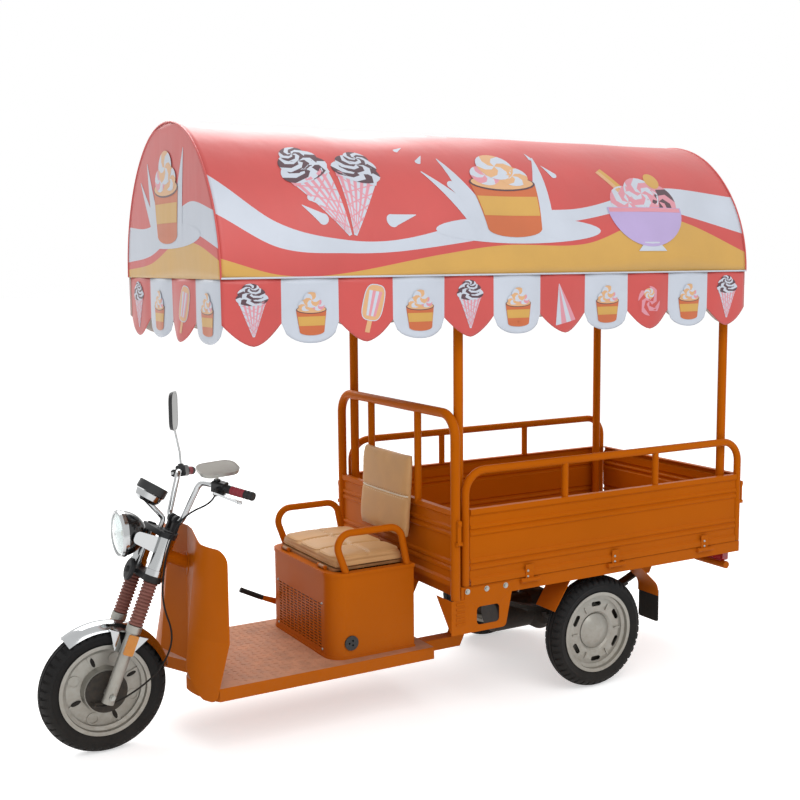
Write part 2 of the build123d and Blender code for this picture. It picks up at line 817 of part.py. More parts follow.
for side, hand in zip(sides, ("left", "right")):
    with BuildPart() as side_panel:
        lay_strip(
            Plane(
                origin=(
                    panel_rear if side > 0 else panel_front,
                    side * (box_side - panel_depth),
                    panel_bottom,
                ),
                x_dir=(0, side, 0),
                z_dir=(side, 0, 0),
            ),
            pressed_panel_line(panel_depth),
            0,
            panel_sheet,
            panel_front - panel_rear,
        )
        for hinge_x in side_hinge_x:
            low_y = min(side * (box_side - 1), side * (box_side + strap_sheet))
            high_y = max(side * (box_side - 1), side * (box_side + strap_sheet))
            add_block(
                (hinge_x - hinge_knuckle_length / 2, low_y, hinge_z),
                (hinge_x + hinge_knuckle_length / 2, high_y, hinge_z + strap_height),
            )
            with Locations((hinge_x, side * side_hinge_y, hinge_z)):
                Cylinder(hinge_knuckle / 2, hinge_knuckle_length, rotation=(0, 90, 0))
                Cylinder(
                    hinge_pin / 2 + fit,
                    hinge_knuckle_length,
                    rotation=(0, 90, 0),
                    mode=Mode.SUBTRACT,
                )
    save(side_panel, f"{hand}_side_panel")

    with BuildPart() as side_rail:
        lay_tube(
            [
                (rail_front_x, side * rail_y, panel_bottom),
                (rail_front_x, side * rail_y, rail_axis_z),
                (rail_rear_x, side * rail_y, rail_axis_z),
                (rail_rear_x, side * rail_y, panel_bottom),
            ],
            rail_bend,
            rail_tube,
        )
        for share in (1 / 3, 2 / 3):
            upright_x = rail_rear_x + (rail_front_x - rail_rear_x) * share
            lay_tube(
                [(upright_x, side * rail_y, panel_top + seat_gap), (upright_x, side * rail_y, rail_axis_z)],
                0,
                rail_upright_tube,
            )
        for end in (-1, 1):
            lug_y = side * rail_y + end * (latch_width / 2 + 3)
            add_block(
                (rear_latch_x - 5, lug_y - 2, latch_pin_z - 7),
                (rail_rear_x, lug_y + 2, latch_pin_z + 7),
            )
        with Locations((rear_latch_x, side * rail_y, latch_pin_z)):
            Cylinder(latch_pin / 2, latch_width + 9, rotation=(90, 0, 0))
    save(side_rail, f"{hand}_side_rail")

gate_y = box_side - rail_tube - 4

with BuildPart() as tailgate:
    lay_strip(
        Plane(
            origin=(box_rear + panel_depth, -gate_y, panel_bottom),
            x_dir=(-1, 0, 0),
            z_dir=(0, 1, 0),
        ),
        pressed_panel_line(panel_depth),
        0,
        panel_sheet,
        2 * gate_y,
    )
    for hinge_y in tail_hinge_y:
        add_block(
            (box_rear - strap_sheet, hinge_y - hinge_knuckle_length / 2, hinge_z),
            (box_rear + 1, hinge_y + hinge_knuckle_length / 2, hinge_z + strap_height),
        )
        with Locations((tail_hinge_x, hinge_y, hinge_z)):
            Cylinder(hinge_knuckle / 2, hinge_knuckle_length, rotation=(90, 0, 0))
            Cylinder(hinge_pin / 2 + fit, hinge_knuckle_length, rotation=(90, 0, 0), mode=Mode.SUBTRACT)
save(tailgate, "tailgate")

# Corner latches: a lever on each front corner post and on each rear rail leg


def latch_line(reach):
    """Outline of a latch lever seen along its pin, which is at its foot: eye, shank and hooked tip."""
    half = latch_thickness / 2
    return [
        (-half, 0),
        (half, 0),
        (half, reach * 0.72),
        (half + 5, reach * 0.86),
        (half + 2, reach),
        (-half, reach),
    ]


for side, hand in zip(sides, ("left", "right")):
    with BuildPart() as front_latch:
        with BuildSketch(
            Plane(
                origin=(headboard_x - side * latch_width / 2, side * latch_pin_y, latch_pin_z),
                x_dir=(0, side, 0),
                z_dir=(side, 0, 0),
            )
        ):
            with BuildLine():
                Polyline(*latch_line(latch_length), close=True)
            make_face()
            Circle(6.5)
            Circle(latch_pin / 2 + fit, mode=Mode.SUBTRACT)
        extrude(amount=latch_width)
    save(front_latch, f"front_{hand}_latch")

    with BuildPart() as rear_latch:
        with BuildSketch(
            Plane(
                origin=(rear_latch_x, side * rail_y - latch_width / 2, latch_pin_z),
                x_dir=(-1, 0, 0),
                z_dir=(0, 1, 0),
            )
        ):
            with BuildLine():
                Polyline(*latch_line(latch_length), close=True)
            make_face()
            Circle(6.5)
            Circle(latch_pin / 2 + fit, mode=Mode.SUBTRACT)
        extrude(amount=latch_width)
    save(rear_latch, f"rear_{hand}_latch")

# Skirts, mudguards, flaps and tail lamps

skirt_sheet = 3
skirt_y = sill_side + seat_gap
skirt_top = bed_height - 5
skirt_low = skirt_top - 180
skirt_length = 232
skirt_rake = 38
skirt_front = box_front - 3
skirt_nose = skirt_front + 61
skirt_step = bed_beam_top - seat_gap
skirt_depth = 110
skirt_window_length = 107
skirt_window_height = 73
skirt_window_round = 16
skirt_window_x = skirt_front - 110
skirt_window_z = skirt_low + 63
# Four plates make up a side around its window, mitred where its round corners have their middle.
skirt_mitres = ((1, 1, 45), (-1, 1, 135), (-1, -1, 225), (1, -1, 315))
louvre_count = 5

with BuildPart() as skirts:
    for side in sides:
        with BuildSketch(Plane.XZ.offset(-side * skirt_y)) as skirt_side:
            with BuildLine():
                FilletPolyline(
                    (skirt_front, skirt_top),
                    (skirt_front - skirt_length, skirt_top),
                    (skirt_front - skirt_length + skirt_rake, skirt_low),
                    (skirt_nose, skirt_low),
                    (skirt_nose, skirt_step),
                    (skirt_front, skirt_step),
                    radius=(1, 14, 20, 1, 4, 1),
                    close=True,
                )
            make_face()
            with Locations((skirt_window_x, skirt_window_z)):
                RectangleRounded(
                    skirt_window_length, skirt_window_height, skirt_window_round, mode=Mode.SUBTRACT
                )
            for along, up, heading in skirt_mitres:
                mitre_x = skirt_window_x + along * (skirt_window_length / 2 - skirt_window_round)
                mitre_z = skirt_window_z + up * (skirt_window_height / 2 - skirt_window_round)
                with Locations((mitre_x, mitre_z)):
                    Rectangle(
                        skirt_length,
                        seat_gap,
                        rotation=heading,
                        align=(Align.MIN, Align.CENTER),
                        mode=Mode.SUBTRACT,
                    )
        extrude(amount=-side * skirt_sheet)
        for louvre in range(louvre_count):
            louvre_z = skirt_low + 42 + louvre * 20
            with Locations((skirt_nose - 42, side * (skirt_y + skirt_sheet), louvre_z)):
                Box(40, 6, 8)
        with BuildSketch(Plane.YZ.offset(skirt_nose - skirt_sheet)) as skirt_end:
            with BuildLine():
                Polyline(
                    (side * (skirt_y - seat_gap), skirt_step),
                    (side * (skirt_y - skirt_depth), skirt_step),
                    (side * (skirt_y - 8), skirt_low + 12),
                    (side * (skirt_y - seat_gap), skirt_low + 12),
                    close=True,
                )
            make_face()
        extrude(amount=skirt_sheet)
save(skirts, "skirts")

guard_sheet = 2.5
guard_top = bed_height - bed_sheet - seat_gap
guard_inner_y = 325
guard_width = sill_side - sill_width - 3 - guard_inner_y
guard_front_x = rear_axle_x + 242
guard_rear_x = rear_axle_x - 322
flap_sheet = 6
flap_length = 145

with BuildPart() as mudguards:
    for side in sides:
        lay_strip(
            Plane.XZ.offset(-guard_inner_y - guard_width if side > 0 else guard_inner_y),
            [
                (guard_front_x, axle_z + 130),
                (guard_front_x - 115, guard_top),
                (guard_rear_x + 156, guard_top),
                (guard_rear_x, axle_z + 160),
                (guard_rear_x, axle_z + 112),
            ],
            60,
            guard_sheet,
            guard_width,
        )
save(mudguards, "mudguards")

with BuildPart() as mud_flaps:
    for side in sides:
        flap_y = side * (guard_inner_y + guard_width / 2)
        with BuildSketch(Plane.YZ.offset(guard_rear_x - seat_gap)):
            with Locations((flap_y, axle_z + 140 - flap_length / 2)):
                RectangleRounded(guard_width - 6, flap_length, 10)
        extrude(amount=-flap_sheet)
save(mud_flaps, "mud_flaps")

lamp_size = (34, 104, 52)

with BuildPart() as tail_lamps:
    for side in sides:
        with Locations((box_rear + 22, side * (box_side - 120), bumper_z + bumper_tube / 2 + seat_gap)):
            Box(*lamp_size, align=(Align.CENTER, Align.CENTER, Align.MIN))
    fillet(tail_lamps.edges().filter_by(Axis.X), 12)
save(tail_lamps, "tail_lamps")

# Leaf springs and rear axle

leaf_width = 50
leaf_thickness = 8
leaf_shares = (1, 0.74, 0.52, 0.3)
leaf_gap = seat_gap
axle_tube = 60
saddle_top = axle_z + axle_tube / 2 + 11
spring_middle_z = saddle_top + 3.5 * leaf_thickness + 4 * leaf_gap
spring_sag = spring_eye_z - spring_middle_z
spring_half = (spring_front_x - spring_rear_x) / 2
spring_radius = (spring_half**2 + spring_sag**2) / (2 * spring_sag)
spring_centre_z = spring_middle_z + spring_radius
spring_eye = 15

with BuildPart() as leaf_springs:
    for side in sides:
        for leaf, share in enumerate(leaf_shares):
            inner = spring_radius - leaf_thickness / 2 + leaf * (leaf_thickness + leaf_gap)
            outer = inner + leaf_thickness
            sweep_half = degrees(asin(spring_half / spring_radius)) * share
            with BuildSketch(Plane.XZ.offset(leaf_width / 2 - side * beam_y)) as leaf_side:
                with BuildLine():
                    low = CenterArc((rear_axle_x, spring_centre_z), inner, 270 - sweep_half, 2 * sweep_half)
                    high = CenterArc((rear_axle_x, spring_centre_z), outer, 270 - sweep_half, 2 * sweep_half)
                    Line(low @ 0, high @ 0)
                    Line(low @ 1, high @ 1)
                make_face()
                if leaf == 0:
                    with Locations((spring_front_x, spring_eye_z), (spring_rear_x, spring_eye_z)):
                        Circle(spring_eye)
                        Circle(spring_pin / 2 + seat_gap, mode=Mode.SUBTRACT)
            extrude(amount=-leaf_width)
save(leaf_springs, "leaf_springs")

plate_radius = rim_radius - 42
plate_y = wheel_y - 63
plate_sheet = 6
shaft = 30
shaft_inset = 50
diff_radius = 90
diff_width = 150
motor_radius = 76
motor_length = 190
u_bolt = 9

with BuildPart() as rear_axle:
    with Locations((rear_axle_x, 0, axle_z)):
        Cylinder(axle_tube / 2, 2 * plate_y, rotation=(90, 0, 0))
        Cylinder(diff_radius, diff_width, rotation=(90, 0, 0))
    chamfer(rear_axle.edges().filter_by(GeomType.CIRCLE).group_by(SortBy.LENGTH)[-1], 30)
    for side in sides:
        with Locations((rear_axle_x, side * (plate_y + plate_sheet / 2), axle_z)):
            Cylinder(plate_radius, plate_sheet, rotation=(90, 0, 0))
        with Locations((rear_axle_x, side * (plate_y + plate_sheet - shaft_inset / 2), axle_z)):
            Cylinder(shaft / 2 + fit, shaft_inset, rotation=(90, 0, 0), mode=Mode.SUBTRACT)
        add_block(
            (rear_axle_x - 45, side * beam_y - leaf_width / 2 - 4, axle_z + 15),
            (rear_axle_x + 45, side * beam_y + leaf_width / 2 + 4, saddle_top),
        )
        for end in (-1, 1):
            bolt_x = rear_axle_x + end * 34
            half = leaf_width / 2 + u_bolt / 2 + 1
            bolt_top = spring_middle_z + leaf_thickness / 2 + u_bolt / 2 + 2.5
            lay_tube(
                [
                    (bolt_x, side * beam_y - half, axle_z + 20),
                    (bolt_x, side * beam_y - half, bolt_top),
                    (bolt_x, side * beam_y + half, bolt_top),
                    (bolt_x, side * beam_y + half, axle_z + 20),
                ],
                u_bolt,
                u_bolt,
            )
    with Locations((rear_axle_x + diff_radius - 25, 0, axle_z)):
        Cylinder(
            motor_radius,
            motor_length,
            rotation=(0, 90, 0),
            align=(Align.CENTER, Align.CENTER, Align.MIN),
        )
    fillet(rear_axle.edges().filter_by(GeomType.CIRCLE).sort_by(Axis.X)[-1], 12)
save(rear_axle, "rear_axle")

# Wheels

bead_y = rim_width / 2 - 4
well_radius = rim_radius - 26
rim_sheet = 4


def rim_line():
    """Half section of a drop-centre rim, as outward and radius measures from the wheel's middle."""
    flange = rim_width / 2
    tyre_face = [
        (-flange, rim_radius),
        (-flange + 3, rim_radius),
        (-bead_y - 1, rim_radius - 10),
        (-20, rim_radius - 12),
        (-14, well_radius),
    ]
    hub_face = [
        (-16, well_radius - rim_sheet),
        (-22, rim_radius - 12 - rim_sheet),
        (-bead_y - 3, rim_radius - 10 - rim_sheet),
        (-flange, rim_radius - 5),
    ]
    across = [(-y, r) for y, r in tyre_face[::-1]]
    back = [(-y, r) for y, r in hub_face[::-1]]
    return tyre_face + across + back + hub_face


def add_tyre(x, y):
    """Tyre as a hollow casing with a rounded tread, standing on the rim's bead seats."""
    half = tyre_width / 2
    foot = rim_radius - 9.4
    with BuildSketch(wheel_plane(x, y)) as section:
        with BuildLine():
            Line((-bead_y + 8, foot), (-bead_y + 0.5, foot))
            Line((-bead_y + 0.5, foot), (-bead_y + 0.5, rim_radius + 2))
            ThreePointArc(
                (-bead_y + 0.5, rim_radius + 2), (-half, rim_radius + 30), (-half + 6, tyre_radius - 16)
            )
            ThreePointArc((-half + 6, tyre_radius - 16), (0, tyre_radius), (half - 6, tyre_radius - 16))
            ThreePointArc(
                (half - 6, tyre_radius - 16), (half, rim_radius + 30), (bead_y - 0.5, rim_radius + 2)
            )
            Line((bead_y - 0.5, rim_radius + 2), (bead_y - 0.5, foot))
            Line((bead_y - 0.5, foot), (bead_y - 8, foot))
            Line((bead_y - 8, foot), (bead_y - 8, rim_radius + 4))
            ThreePointArc(
                (bead_y - 8, rim_radius + 4), (0, tyre_radius - 14), (-bead_y + 8, rim_radius + 4)
            )
            Line((-bead_y + 8, rim_radius + 4), (-bead_y + 8, foot))
        make_face()
    revolve(profiles=section.sketch, axis=Axis((x, y, axle_z), (0, 1, 0)))


slot_count = 6
drum_radius = plate_radius - 4
drum_open_y = 8 + plate_sheet - 63
drum_face_y = -9
cap_radius = 74

for side, hand in zip(sides, ("left", "right")):
    hub_y = side * wheel_y
    spin = Axis((rear_axle_x, hub_y, axle_z), (0, 1, 0))
    plane = wheel_plane(rear_axle_x, hub_y)

    with BuildPart() as rear_wheel:
        turn_profile(plane, [(side * y, r) for y, r in rim_line()], spin)
        disc = [
            (drum_face_y + seat_gap, 22),
            (drum_face_y + seat_gap, 64),
            (12, 88),
            (17, 120),
            (10, well_radius - rim_sheet + 1),
            (15, well_radius - rim_sheet + 1),
            (21.5, 120),
            (16, 85),
            (drum_face_y + seat_gap + 4, 60),
            (drum_face_y + seat_gap + 4, 22),
        ]
        turn_profile(plane, [(side * y, r) for y, r in disc], spin)
        with BuildSketch(Plane.XZ.offset(-hub_y)) as slots:
            with Locations((rear_axle_x, axle_z)):
                with PolarLocations(119, slot_count, start_angle=90):
                    SlotOverall(50, 20, rotation=90)
        extrude(amount=rim_width / 2, both=True, mode=Mode.SUBTRACT)
        with BuildSketch(Plane.XZ.offset(-hub_y - side * 19)) as rib_plan:
            with Locations((rear_axle_x, axle_z)):
                with PolarLocations(112, slot_count, start_angle=60):
                    SlotOverall(30, 7)
        extrude(amount=-side * 6)
        turn_profile(
            plane,
            [
                (side * y, r)
                for y, r in (
                    (drum_open_y - 18 - 2, 0),
                    (drum_open_y - 18 - 2, shaft / 2),
                    (drum_open_y + 4, shaft / 2),
                    (drum_open_y + 4, 34),
                    (drum_face_y - 10, 34),
                    (drum_face_y - 10, drum_radius - 8),
                    (drum_open_y, drum_radius - 8),
                    (drum_open_y, drum_radius),
                    (drum_face_y, drum_radius),
                    (drum_face_y, 21.7),
                    (drum_face_y + 6, 21.7),
                    (drum_face_y + 6, 0),
                )
            ],
            spin,
        )
        with BuildSketch(plane) as cap:
            with BuildLine():
                outer = TangentArc((side * 36, 0), (side * 10.5, cap_radius), tangent=(0, 1))
                inner = TangentArc((side * 33, 0), (side * 7.5, cap_radius), tangent=(0, 1))
                Line(outer @ 0, inner @ 0)
                Line(outer @ 1, inner @ 1)
            make_face()
        revolve(profiles=cap.sketch, axis=spin)
    save(rear_wheel, f"rear_{hand}_wheel")

    with BuildPart() as rear_tyre:
        add_tyre(rear_axle_x, hub_y)
    save(rear_tyre, f"rear_{hand}_tyre")

front_spin = Axis((front_axle_x, 0, axle_z), (0, 1, 0))
front_plane = wheel_plane(front_axle_x, 0)
front_drum_radius = 78
front_hub_half = 44
front_web = 3
front_pockets = 4
pocket_turn = 67

with BuildPart() as front_wheel:
    turn_profile(front_plane, rim_line(), front_spin)
    turn_profile(
        front_plane,
        [
            (-front_hub_half, front_axle_rod / 2 + fit),
            (-front_hub_half, 32),
            (-24, 40),
            (-12, front_drum_radius - 6),
            (-9, front_drum_radius + 8),
            (-6, well_radius - rim_sheet + 1),
            (6, well_radius - rim_sheet + 1),
            (9, front_drum_radius + 10),
            (front_hub_half - 2, front_drum_radius + 4),
            (front_hub_half - 2, front_drum_radius - 4),
            (4, front_drum_radius - 6),
            (4, 24),
            (front_hub_half, 24),
            (front_hub_half, front_axle_rod / 2 + fit),
        ],
        front_spin,
    )
    for side in sides:
        with BuildSketch(Plane.XZ.offset(-side * front_web / 2)) as pockets:
            with Locations((front_axle_x, axle_z)):
                with PolarLocations(117, front_pockets, start_angle=pocket_turn):
                    SlotOverall(50, 14)
        extrude(to_extrude=pockets.sketch, amount=-side * rim_width / 2, mode=Mode.SUBTRACT)
    with BuildSketch(Plane.XZ) as dimples:
        with Locations((front_axle_x, axle_z)):
            with PolarLocations(117, front_pockets, start_angle=pocket_turn + 180 / front_pockets):
                Circle(23)
                Circle(18, mode=Mode.SUBTRACT)
    extrude(amount=10.5, both=True)
save(front_wheel, "front_wheel")

with BuildPart() as front_tyre:
    add_tyre(front_axle_x, 0)
save(front_tyre, "front_tyre")

# Fork: lower legs, axle, fender and reflectors

plate_inner_y = front_hub_half + 1
axle_half = leg_y + slider / 2 + 14
arm_reach = 58
arm_drop = 34
leg_foot = -30

with BuildPart() as fork_sliders:
    for side in sides:
        with Locations(Location(fork) * Location((0, side * leg_y, leg_foot))):
            Cylinder(slider / 2, slider_top - leg_foot, align=(Align.CENTER, Align.CENTER, Align.MIN))
        with Locations(Location(fork) * Location((0, side * leg_y, slider_top - 26))):
            Cylinder(slider / 2 + 6, 26, align=(Align.CENTER, Align.CENTER, Align.MIN))
        with Locations(Location(fork) * Location((0, side * leg_y, 60))):
            Cylinder(
                stanchion / 2 + fit,
                slider_top,
                align=(Align.CENTER, Align.CENTER, Align.MIN),
                mode=Mode.SUBTRACT,
            )
    with Locations((front_axle_x, 0, axle_z)):
        Cylinder(front_axle_rod / 2 + fit, 4 * leg_y, rotation=(90, 0, 0), mode=Mode.SUBTRACT)
save(fork_sliders, "fork_sliders")

with BuildPart() as front_axle:
    with Locations((front_axle_x, 0, axle_z)):
        Cylinder(front_axle_rod / 2, 2 * axle_half, rotation=(90, 0, 0))
    for side in sides:
        with BuildSketch(Plane.XZ.offset(-side * (leg_y + slider / 2 + seat_gap))):
            with Locations((front_axle_x, axle_z)):
                RegularPolygon(12, 6)
        extrude(amount=-side * 9)
        spacer_y = leg_y - slider / 2 - seat_gap
        with Locations((front_axle_x, side * (plate_inner_y + spacer_y) / 2, axle_z)):
            Cylinder(13, spacer_y - plate_inner_y, rotation=(90, 0, 0))
    with Locations((front_axle_x, plate_inner_y + 4, axle_z)):
        Cylinder(front_drum_radius, 7, rotation=(90, 0, 0))
    with BuildSketch(Plane.XZ.offset(-plate_inner_y - 7)):
        with BuildLine():
            Polyline(
                (front_axle_x + 8, axle_z - 56),
                (front_axle_x + arm_reach + 7, axle_z - arm_drop - 7),
                (front_axle_x + arm_reach + 7, axle_z - arm_drop + 7),
                (front_axle_x + 8, axle_z - 36),
                close=True,
            )
        make_face()
    extrude(amount=-14)
    with Locations((front_axle_x + arm_reach, plate_inner_y + 7, axle_z - arm_drop)):
        Cylinder(6, 40, rotation=(-90, 0, 0), align=(Align.CENTER, Align.CENTER, Align.MIN))
save(front_axle, "front_axle")

fender_gap = 19
fender_half = 57
fender_sheet = 2.5
fender_front_angle = 30
fender_rear_angle = 76
fender_radius = tyre_radius + fender_gap

with BuildPart() as front_fender:
    front_turn = Plane(
        origin=(front_axle_x, 0, axle_z),
        x_dir=(0, 1, 0),
        z_dir=(cos(radians(fender_front_angle)), 0, -sin(radians(fender_front_angle))),
    )
    with BuildSketch(front_turn) as fender_section:
        with BuildLine():
            outer = ThreePointArc(
                (-fender_half, fender_radius - 30), (0, fender_radius), (fender_half, fender_radius - 30)
            )
            inner = ThreePointArc(
                (-fender_half + fender_sheet, fender_radius - 30),
                (0, fender_radius - fender_sheet),
                (fender_half - fender_sheet, fender_radius - 30),
            )
            Line(outer @ 0, inner @ 0)
            Line(outer @ 1, inner @ 1)
        make_face()
    revolve(
        profiles=fender_section.sketch,
        axis=Axis((front_axle_x, 0, axle_z), (0, -1, 0)),
        revolution_arc=fender_front_angle + fender_rear_angle,
    )
    for side in sides:
        with BuildSketch(Plane.XZ.offset(-side * (leg_y - slider / 2 - seat_gap))) as stay:
            with BuildLine():
                stay_points = [
                    on_fork(ahead, 0, slider_top - down)
                    for ahead, down in (
                        (-34, 112),
                        (34, 112),
                        (76, 41),
                        (42, 41),
                        (14, 90),
                        (-14, 90),
                        (-42, 41),
                        (-76, 41),
                    )
                ]
                Polyline(*[(point.X, point.Z) for point in stay_points], close=True)
            make_face()
        extrude(amount=side * (leg_y - slider / 2 - seat_gap - fender_half + fender_sheet + 3))
save(front_fender, "front_fender")

with BuildPart() as reflectors:
    for side in sides:
        plate_at = leg_y + slider / 2 + seat_gap
        with BuildSketch(
            Plane(
                origin=on_fork(0, side * plate_at, 198),
                x_dir=fork.x_dir,
                z_dir=(0, side, 0),
            )
        ):
            RectangleRounded(38, 76, 6)
        extrude(amount=8)
save(reflectors, "reflectors")

# Fork: yokes with stanchions, covers and gaiters

clamp_y = 26
clamp_width = 20
clamp_tube = bar_tube + 16
yoke_radius = 34

with BuildPart() as fork_yokes:
    with BuildSketch(fork.offset(gaiter_top)) as lower_plan:
        with Locations((0, leg_y), (0, -leg_y)):
            Circle(yoke_radius)
        with Locations((-fork_offset, 0)):
            Circle(yoke_radius)
        make_hull()
        with Locations((0, leg_y), (0, -leg_y)):
            Circle(stanchion / 2 + 0.2, mode=Mode.SUBTRACT)
    extrude(amount=yoke_thickness)
    with Locations(Location(fork) * Location((-fork_offset, 0, gaiter_top))):
        Cylinder(stem / 2, top_yoke_high + 8 - gaiter_top, align=(Align.CENTER, Align.CENTER, Align.MIN))
    with BuildSketch(fork.offset(top_yoke_low)) as upper_plan:
        with Locations((0, leg_y), (0, -leg_y)):
            Circle(32)
        with Locations((-fork_offset, 0)):
            Circle(30)
        make_hull()
        with Locations((0, leg_y), (0, -leg_y)):
            Circle(stanchion / 2 + 0.2, mode=Mode.SUBTRACT)
        with Locations((-fork_offset, 0)):
            Circle(stem / 2 + 0.2, mode=Mode.SUBTRACT)
    extrude(amount=top_yoke)
    for side in sides:
        with BuildSketch(fork.offset(top_yoke_high)) as riser:
            with Locations((-fork_offset, side * clamp_y)):
                Rectangle(26, clamp_width)
        extrude(amount=bar_height)
        bar_middle = on_fork(-fork_offset, side * clamp_y, top_yoke_high + bar_height)
        with Locations(bar_middle):
            Cylinder(clamp_tube / 2, clamp_width, rotation=(90, 0, 0))
            Cylinder(bar_tube / 2 + 0.2, clamp_width, rotation=(90, 0, 0), mode=Mode.SUBTRACT)
        with Locations(Location(fork) * Location((0, side * leg_y, 165))):
            Cylinder(stanchion / 2, top_yoke_high + 6 - 165, align=(Align.CENTER, Align.CENTER, Align.MIN))
save(fork_yokes, "fork_yokes")

cover_low = gaiter_top + yoke_thickness + seat_gap
cover_high = top_yoke_low - seat_gap
ear_height = 580
ear_reach = 118
ear_sheet = 5
lamp_x = front_axle_x - 79
lamp_z = axle_z + 576
lamp_radius = 90
lamp_depth = 100
ear_y = lamp_radius + 1

with BuildPart() as fork_covers:
    for side in sides:
        with BuildSketch(fork.offset(cover_low)) as tube_plan:
            with Locations((0, side * leg_y)):
                Circle(cover_tube / 2)
                Circle(cover_tube / 2 - 4, mode=Mode.SUBTRACT)
        extrude(amount=cover_high - cover_low)
        with BuildSketch(fork.offset(cover_low)) as ring_plan:
            with Locations((0, side * leg_y)):
                Circle(cover_tube / 2 + 4)
                Circle(cover_tube / 2 - 4, mode=Mode.SUBTRACT)
        extrude(amount=22)
        ear_plane = Plane(
            origin=on_fork(0, side * ear_y, ear_height), x_dir=fork.x_dir, z_dir=(0, side, 0)
        )
        with BuildSketch(ear_plane) as ear:
            with BuildLine():
                Polyline(
                    (22, -22 * side),
                    (ear_reach, -22 * side),
                    (ear_reach, 22 * side),
                    (22, 40 * side),
                    close=True,
                )
            make_face()
            fillet(ear.vertices().group_by(Axis((0, 0, 0), fork.x_dir))[-1], 18)
        extrude(amount=ear_sheet)
save(fork_covers, "fork_covers")

gaiter_low = slider_top + seat_gap
gaiter_high = gaiter_top - seat_gap

with BuildPart() as fork_gaiters:
    for side in sides:
        leg_axis = Axis(on_fork(0, side * leg_y, 0), fork.z_dir)
        step = (gaiter_high - gaiter_low) / gaiter_ribs
        ridge = gaiter_tube / 2
        groove = ridge - 6
        outline = []
        for rib in range(gaiter_ribs):
            foot = gaiter_low + rib * step
            outline += [(groove, foot), (ridge, foot + step * 0.35), (ridge, foot + step * 0.65)]
        outline += [(groove, gaiter_high), (groove - 4, gaiter_high), (groove - 4, gaiter_low)]
        turn_profile(
            Plane(origin=on_fork(0, side * leg_y, 0), x_dir=fork.x_dir, z_dir=(0, -1, 0)),
            outline,
            leg_axis,
        )
save(fork_gaiters, "fork_gaiters")

# Headlamp, horn and speedometer

lamp_axis = Axis((lamp_x, 0, lamp_z), (1, 0, 0))
lamp_plane = Plane(origin=(lamp_x, 0, lamp_z), x_dir=(1, 0, 0), z_dir=(0, -1, 0))

with BuildPart() as headlamp_shell:
    with BuildSketch(lamp_plane) as shell_section:
        with BuildLine():
            outer = ThreePointArc((-16, lamp_radius - 5), (-66, 66), (-lamp_depth, 24))
            inner = ThreePointArc((-16, lamp_radius - 8), (-64, 62), (-lamp_depth + 4, 22))
            Polyline(outer @ 1, (-lamp_depth, 0), (-lamp_depth + 4, 0), inner @ 1)
            Line(outer @ 0, inner @ 0)
        make_face()
    revolve(profiles=shell_section.sketch, axis=lamp_axis)
    turn_profile(
        lamp_plane,
        [
            (-16 + seat_gap, lamp_radius - 12),
            (-16 + seat_gap, lamp_radius - 2),
            (-4, lamp_radius),
            (4, lamp_radius - 3),
            (6, lamp_radius - 8),
            (2, lamp_radius - 12),
        ],
        lamp_axis,
    )
    for side in sides:
        boss_x = lamp_x - 46
        with Locations((boss_x, side * (ear_y - 14), lamp_z)):
            Cylinder(9, 27, rotation=(90, 0, 0))
save(headlamp_shell, "headlamp_shell")

with BuildPart() as headlamp_lens:
    with BuildSketch(lamp_plane) as lens_section:
        with BuildLine():
            outer = TangentArc((13, 0), (1, lamp_radius - 12.4), tangent=(0, 1))
            inner = TangentArc((9, 0), (-3, lamp_radius - 12.4), tangent=(0, 1))
            Line(outer @ 0, inner @ 0)
            Line(outer @ 1, inner @ 1)
        make_face()
    revolve(profiles=lens_section.sketch, axis=lamp_axis)
save(headlamp_lens, "headlamp_lens")

horn_radius = 42
horn_height = gaiter_top + yoke_thickness / 2
horn_foot = on_fork(yoke_radius + seat_gap, 0, horn_height)
horn_back = on_fork(yoke_radius + 12, 0, horn_height)

with BuildPart() as horn:
    turn_profile(
        Plane(origin=horn_back, x_dir=fork.x_dir, z_dir=(0, -1, 0)),
        [(0, 0), (0, 24), (8, horn_radius), (18, horn_radius), (22, 34), (22, 14), (30, 10), (30, 0)],
        Axis(horn_back, fork.x_dir),
    )
    lay_tube([tuple(horn_foot), tuple(on_fork(yoke_radius + 14, 0, horn_height))], 0, 16)
save(horn, "horn")

dial_tilt = 33
dial_radius = 58
dial_depth = 72
dial_x = front_axle_x - 224
dial_z = axle_z + 747
dial_plane = Plane(
    origin=(dial_x, 0, dial_z),
    x_dir=(cos(radians(dial_tilt)), 0, sin(radians(dial_tilt))),
    z_dir=(0, -1, 0),
)
dial_axis = Axis((dial_x, 0, dial_z), (-sin(radians(dial_tilt)), 0, cos(radians(dial_tilt))))

with BuildPart() as speedometer:
    turn_profile(
        dial_plane,
        [
            (0, -6),
            (dial_radius - 7, -6),
            (dial_radius - 5, 0),
            (dial_radius, -2),
            (dial_radius, -34),
            (dial_radius - 4, -38),
            (dial_radius - 10, -60),
            (dial_radius - 24, -dial_depth),
            (0, -dial_depth),
        ],
        dial_axis,
    )
    lay_tube(
        [
            tuple(on_fork(0, 0, top_yoke_high + seat_gap)),
            tuple(on_fork(0, 0, top_yoke_high + 40)),
            tuple(dial_plane.from_local_coords((0, -dial_depth + 8, 0))),
        ],
        20,
        20,
    )
save(speedometer, "speedometer")

# Handlebar and what is on it

bar_centre = on_fork(-fork_offset, 0, top_yoke_high + bar_height)
bar_route = [
    (bar_centre.X + back, left, bar_centre.Z + up)
    for back, left, up in ((-187, 320, 122), (-83, 170, 153.5), (-60, 120, bar_rise), (0, 70, 0))
]
bar_points = bar_route + [(x, -y, z) for x, y, z in bar_route[::-1]]

with BuildPart() as handlebar:
    lay_tube(bar_points, (60, 40, 40, 40, 40, 60), bar_tube)
save(handlebar, "handlebar")

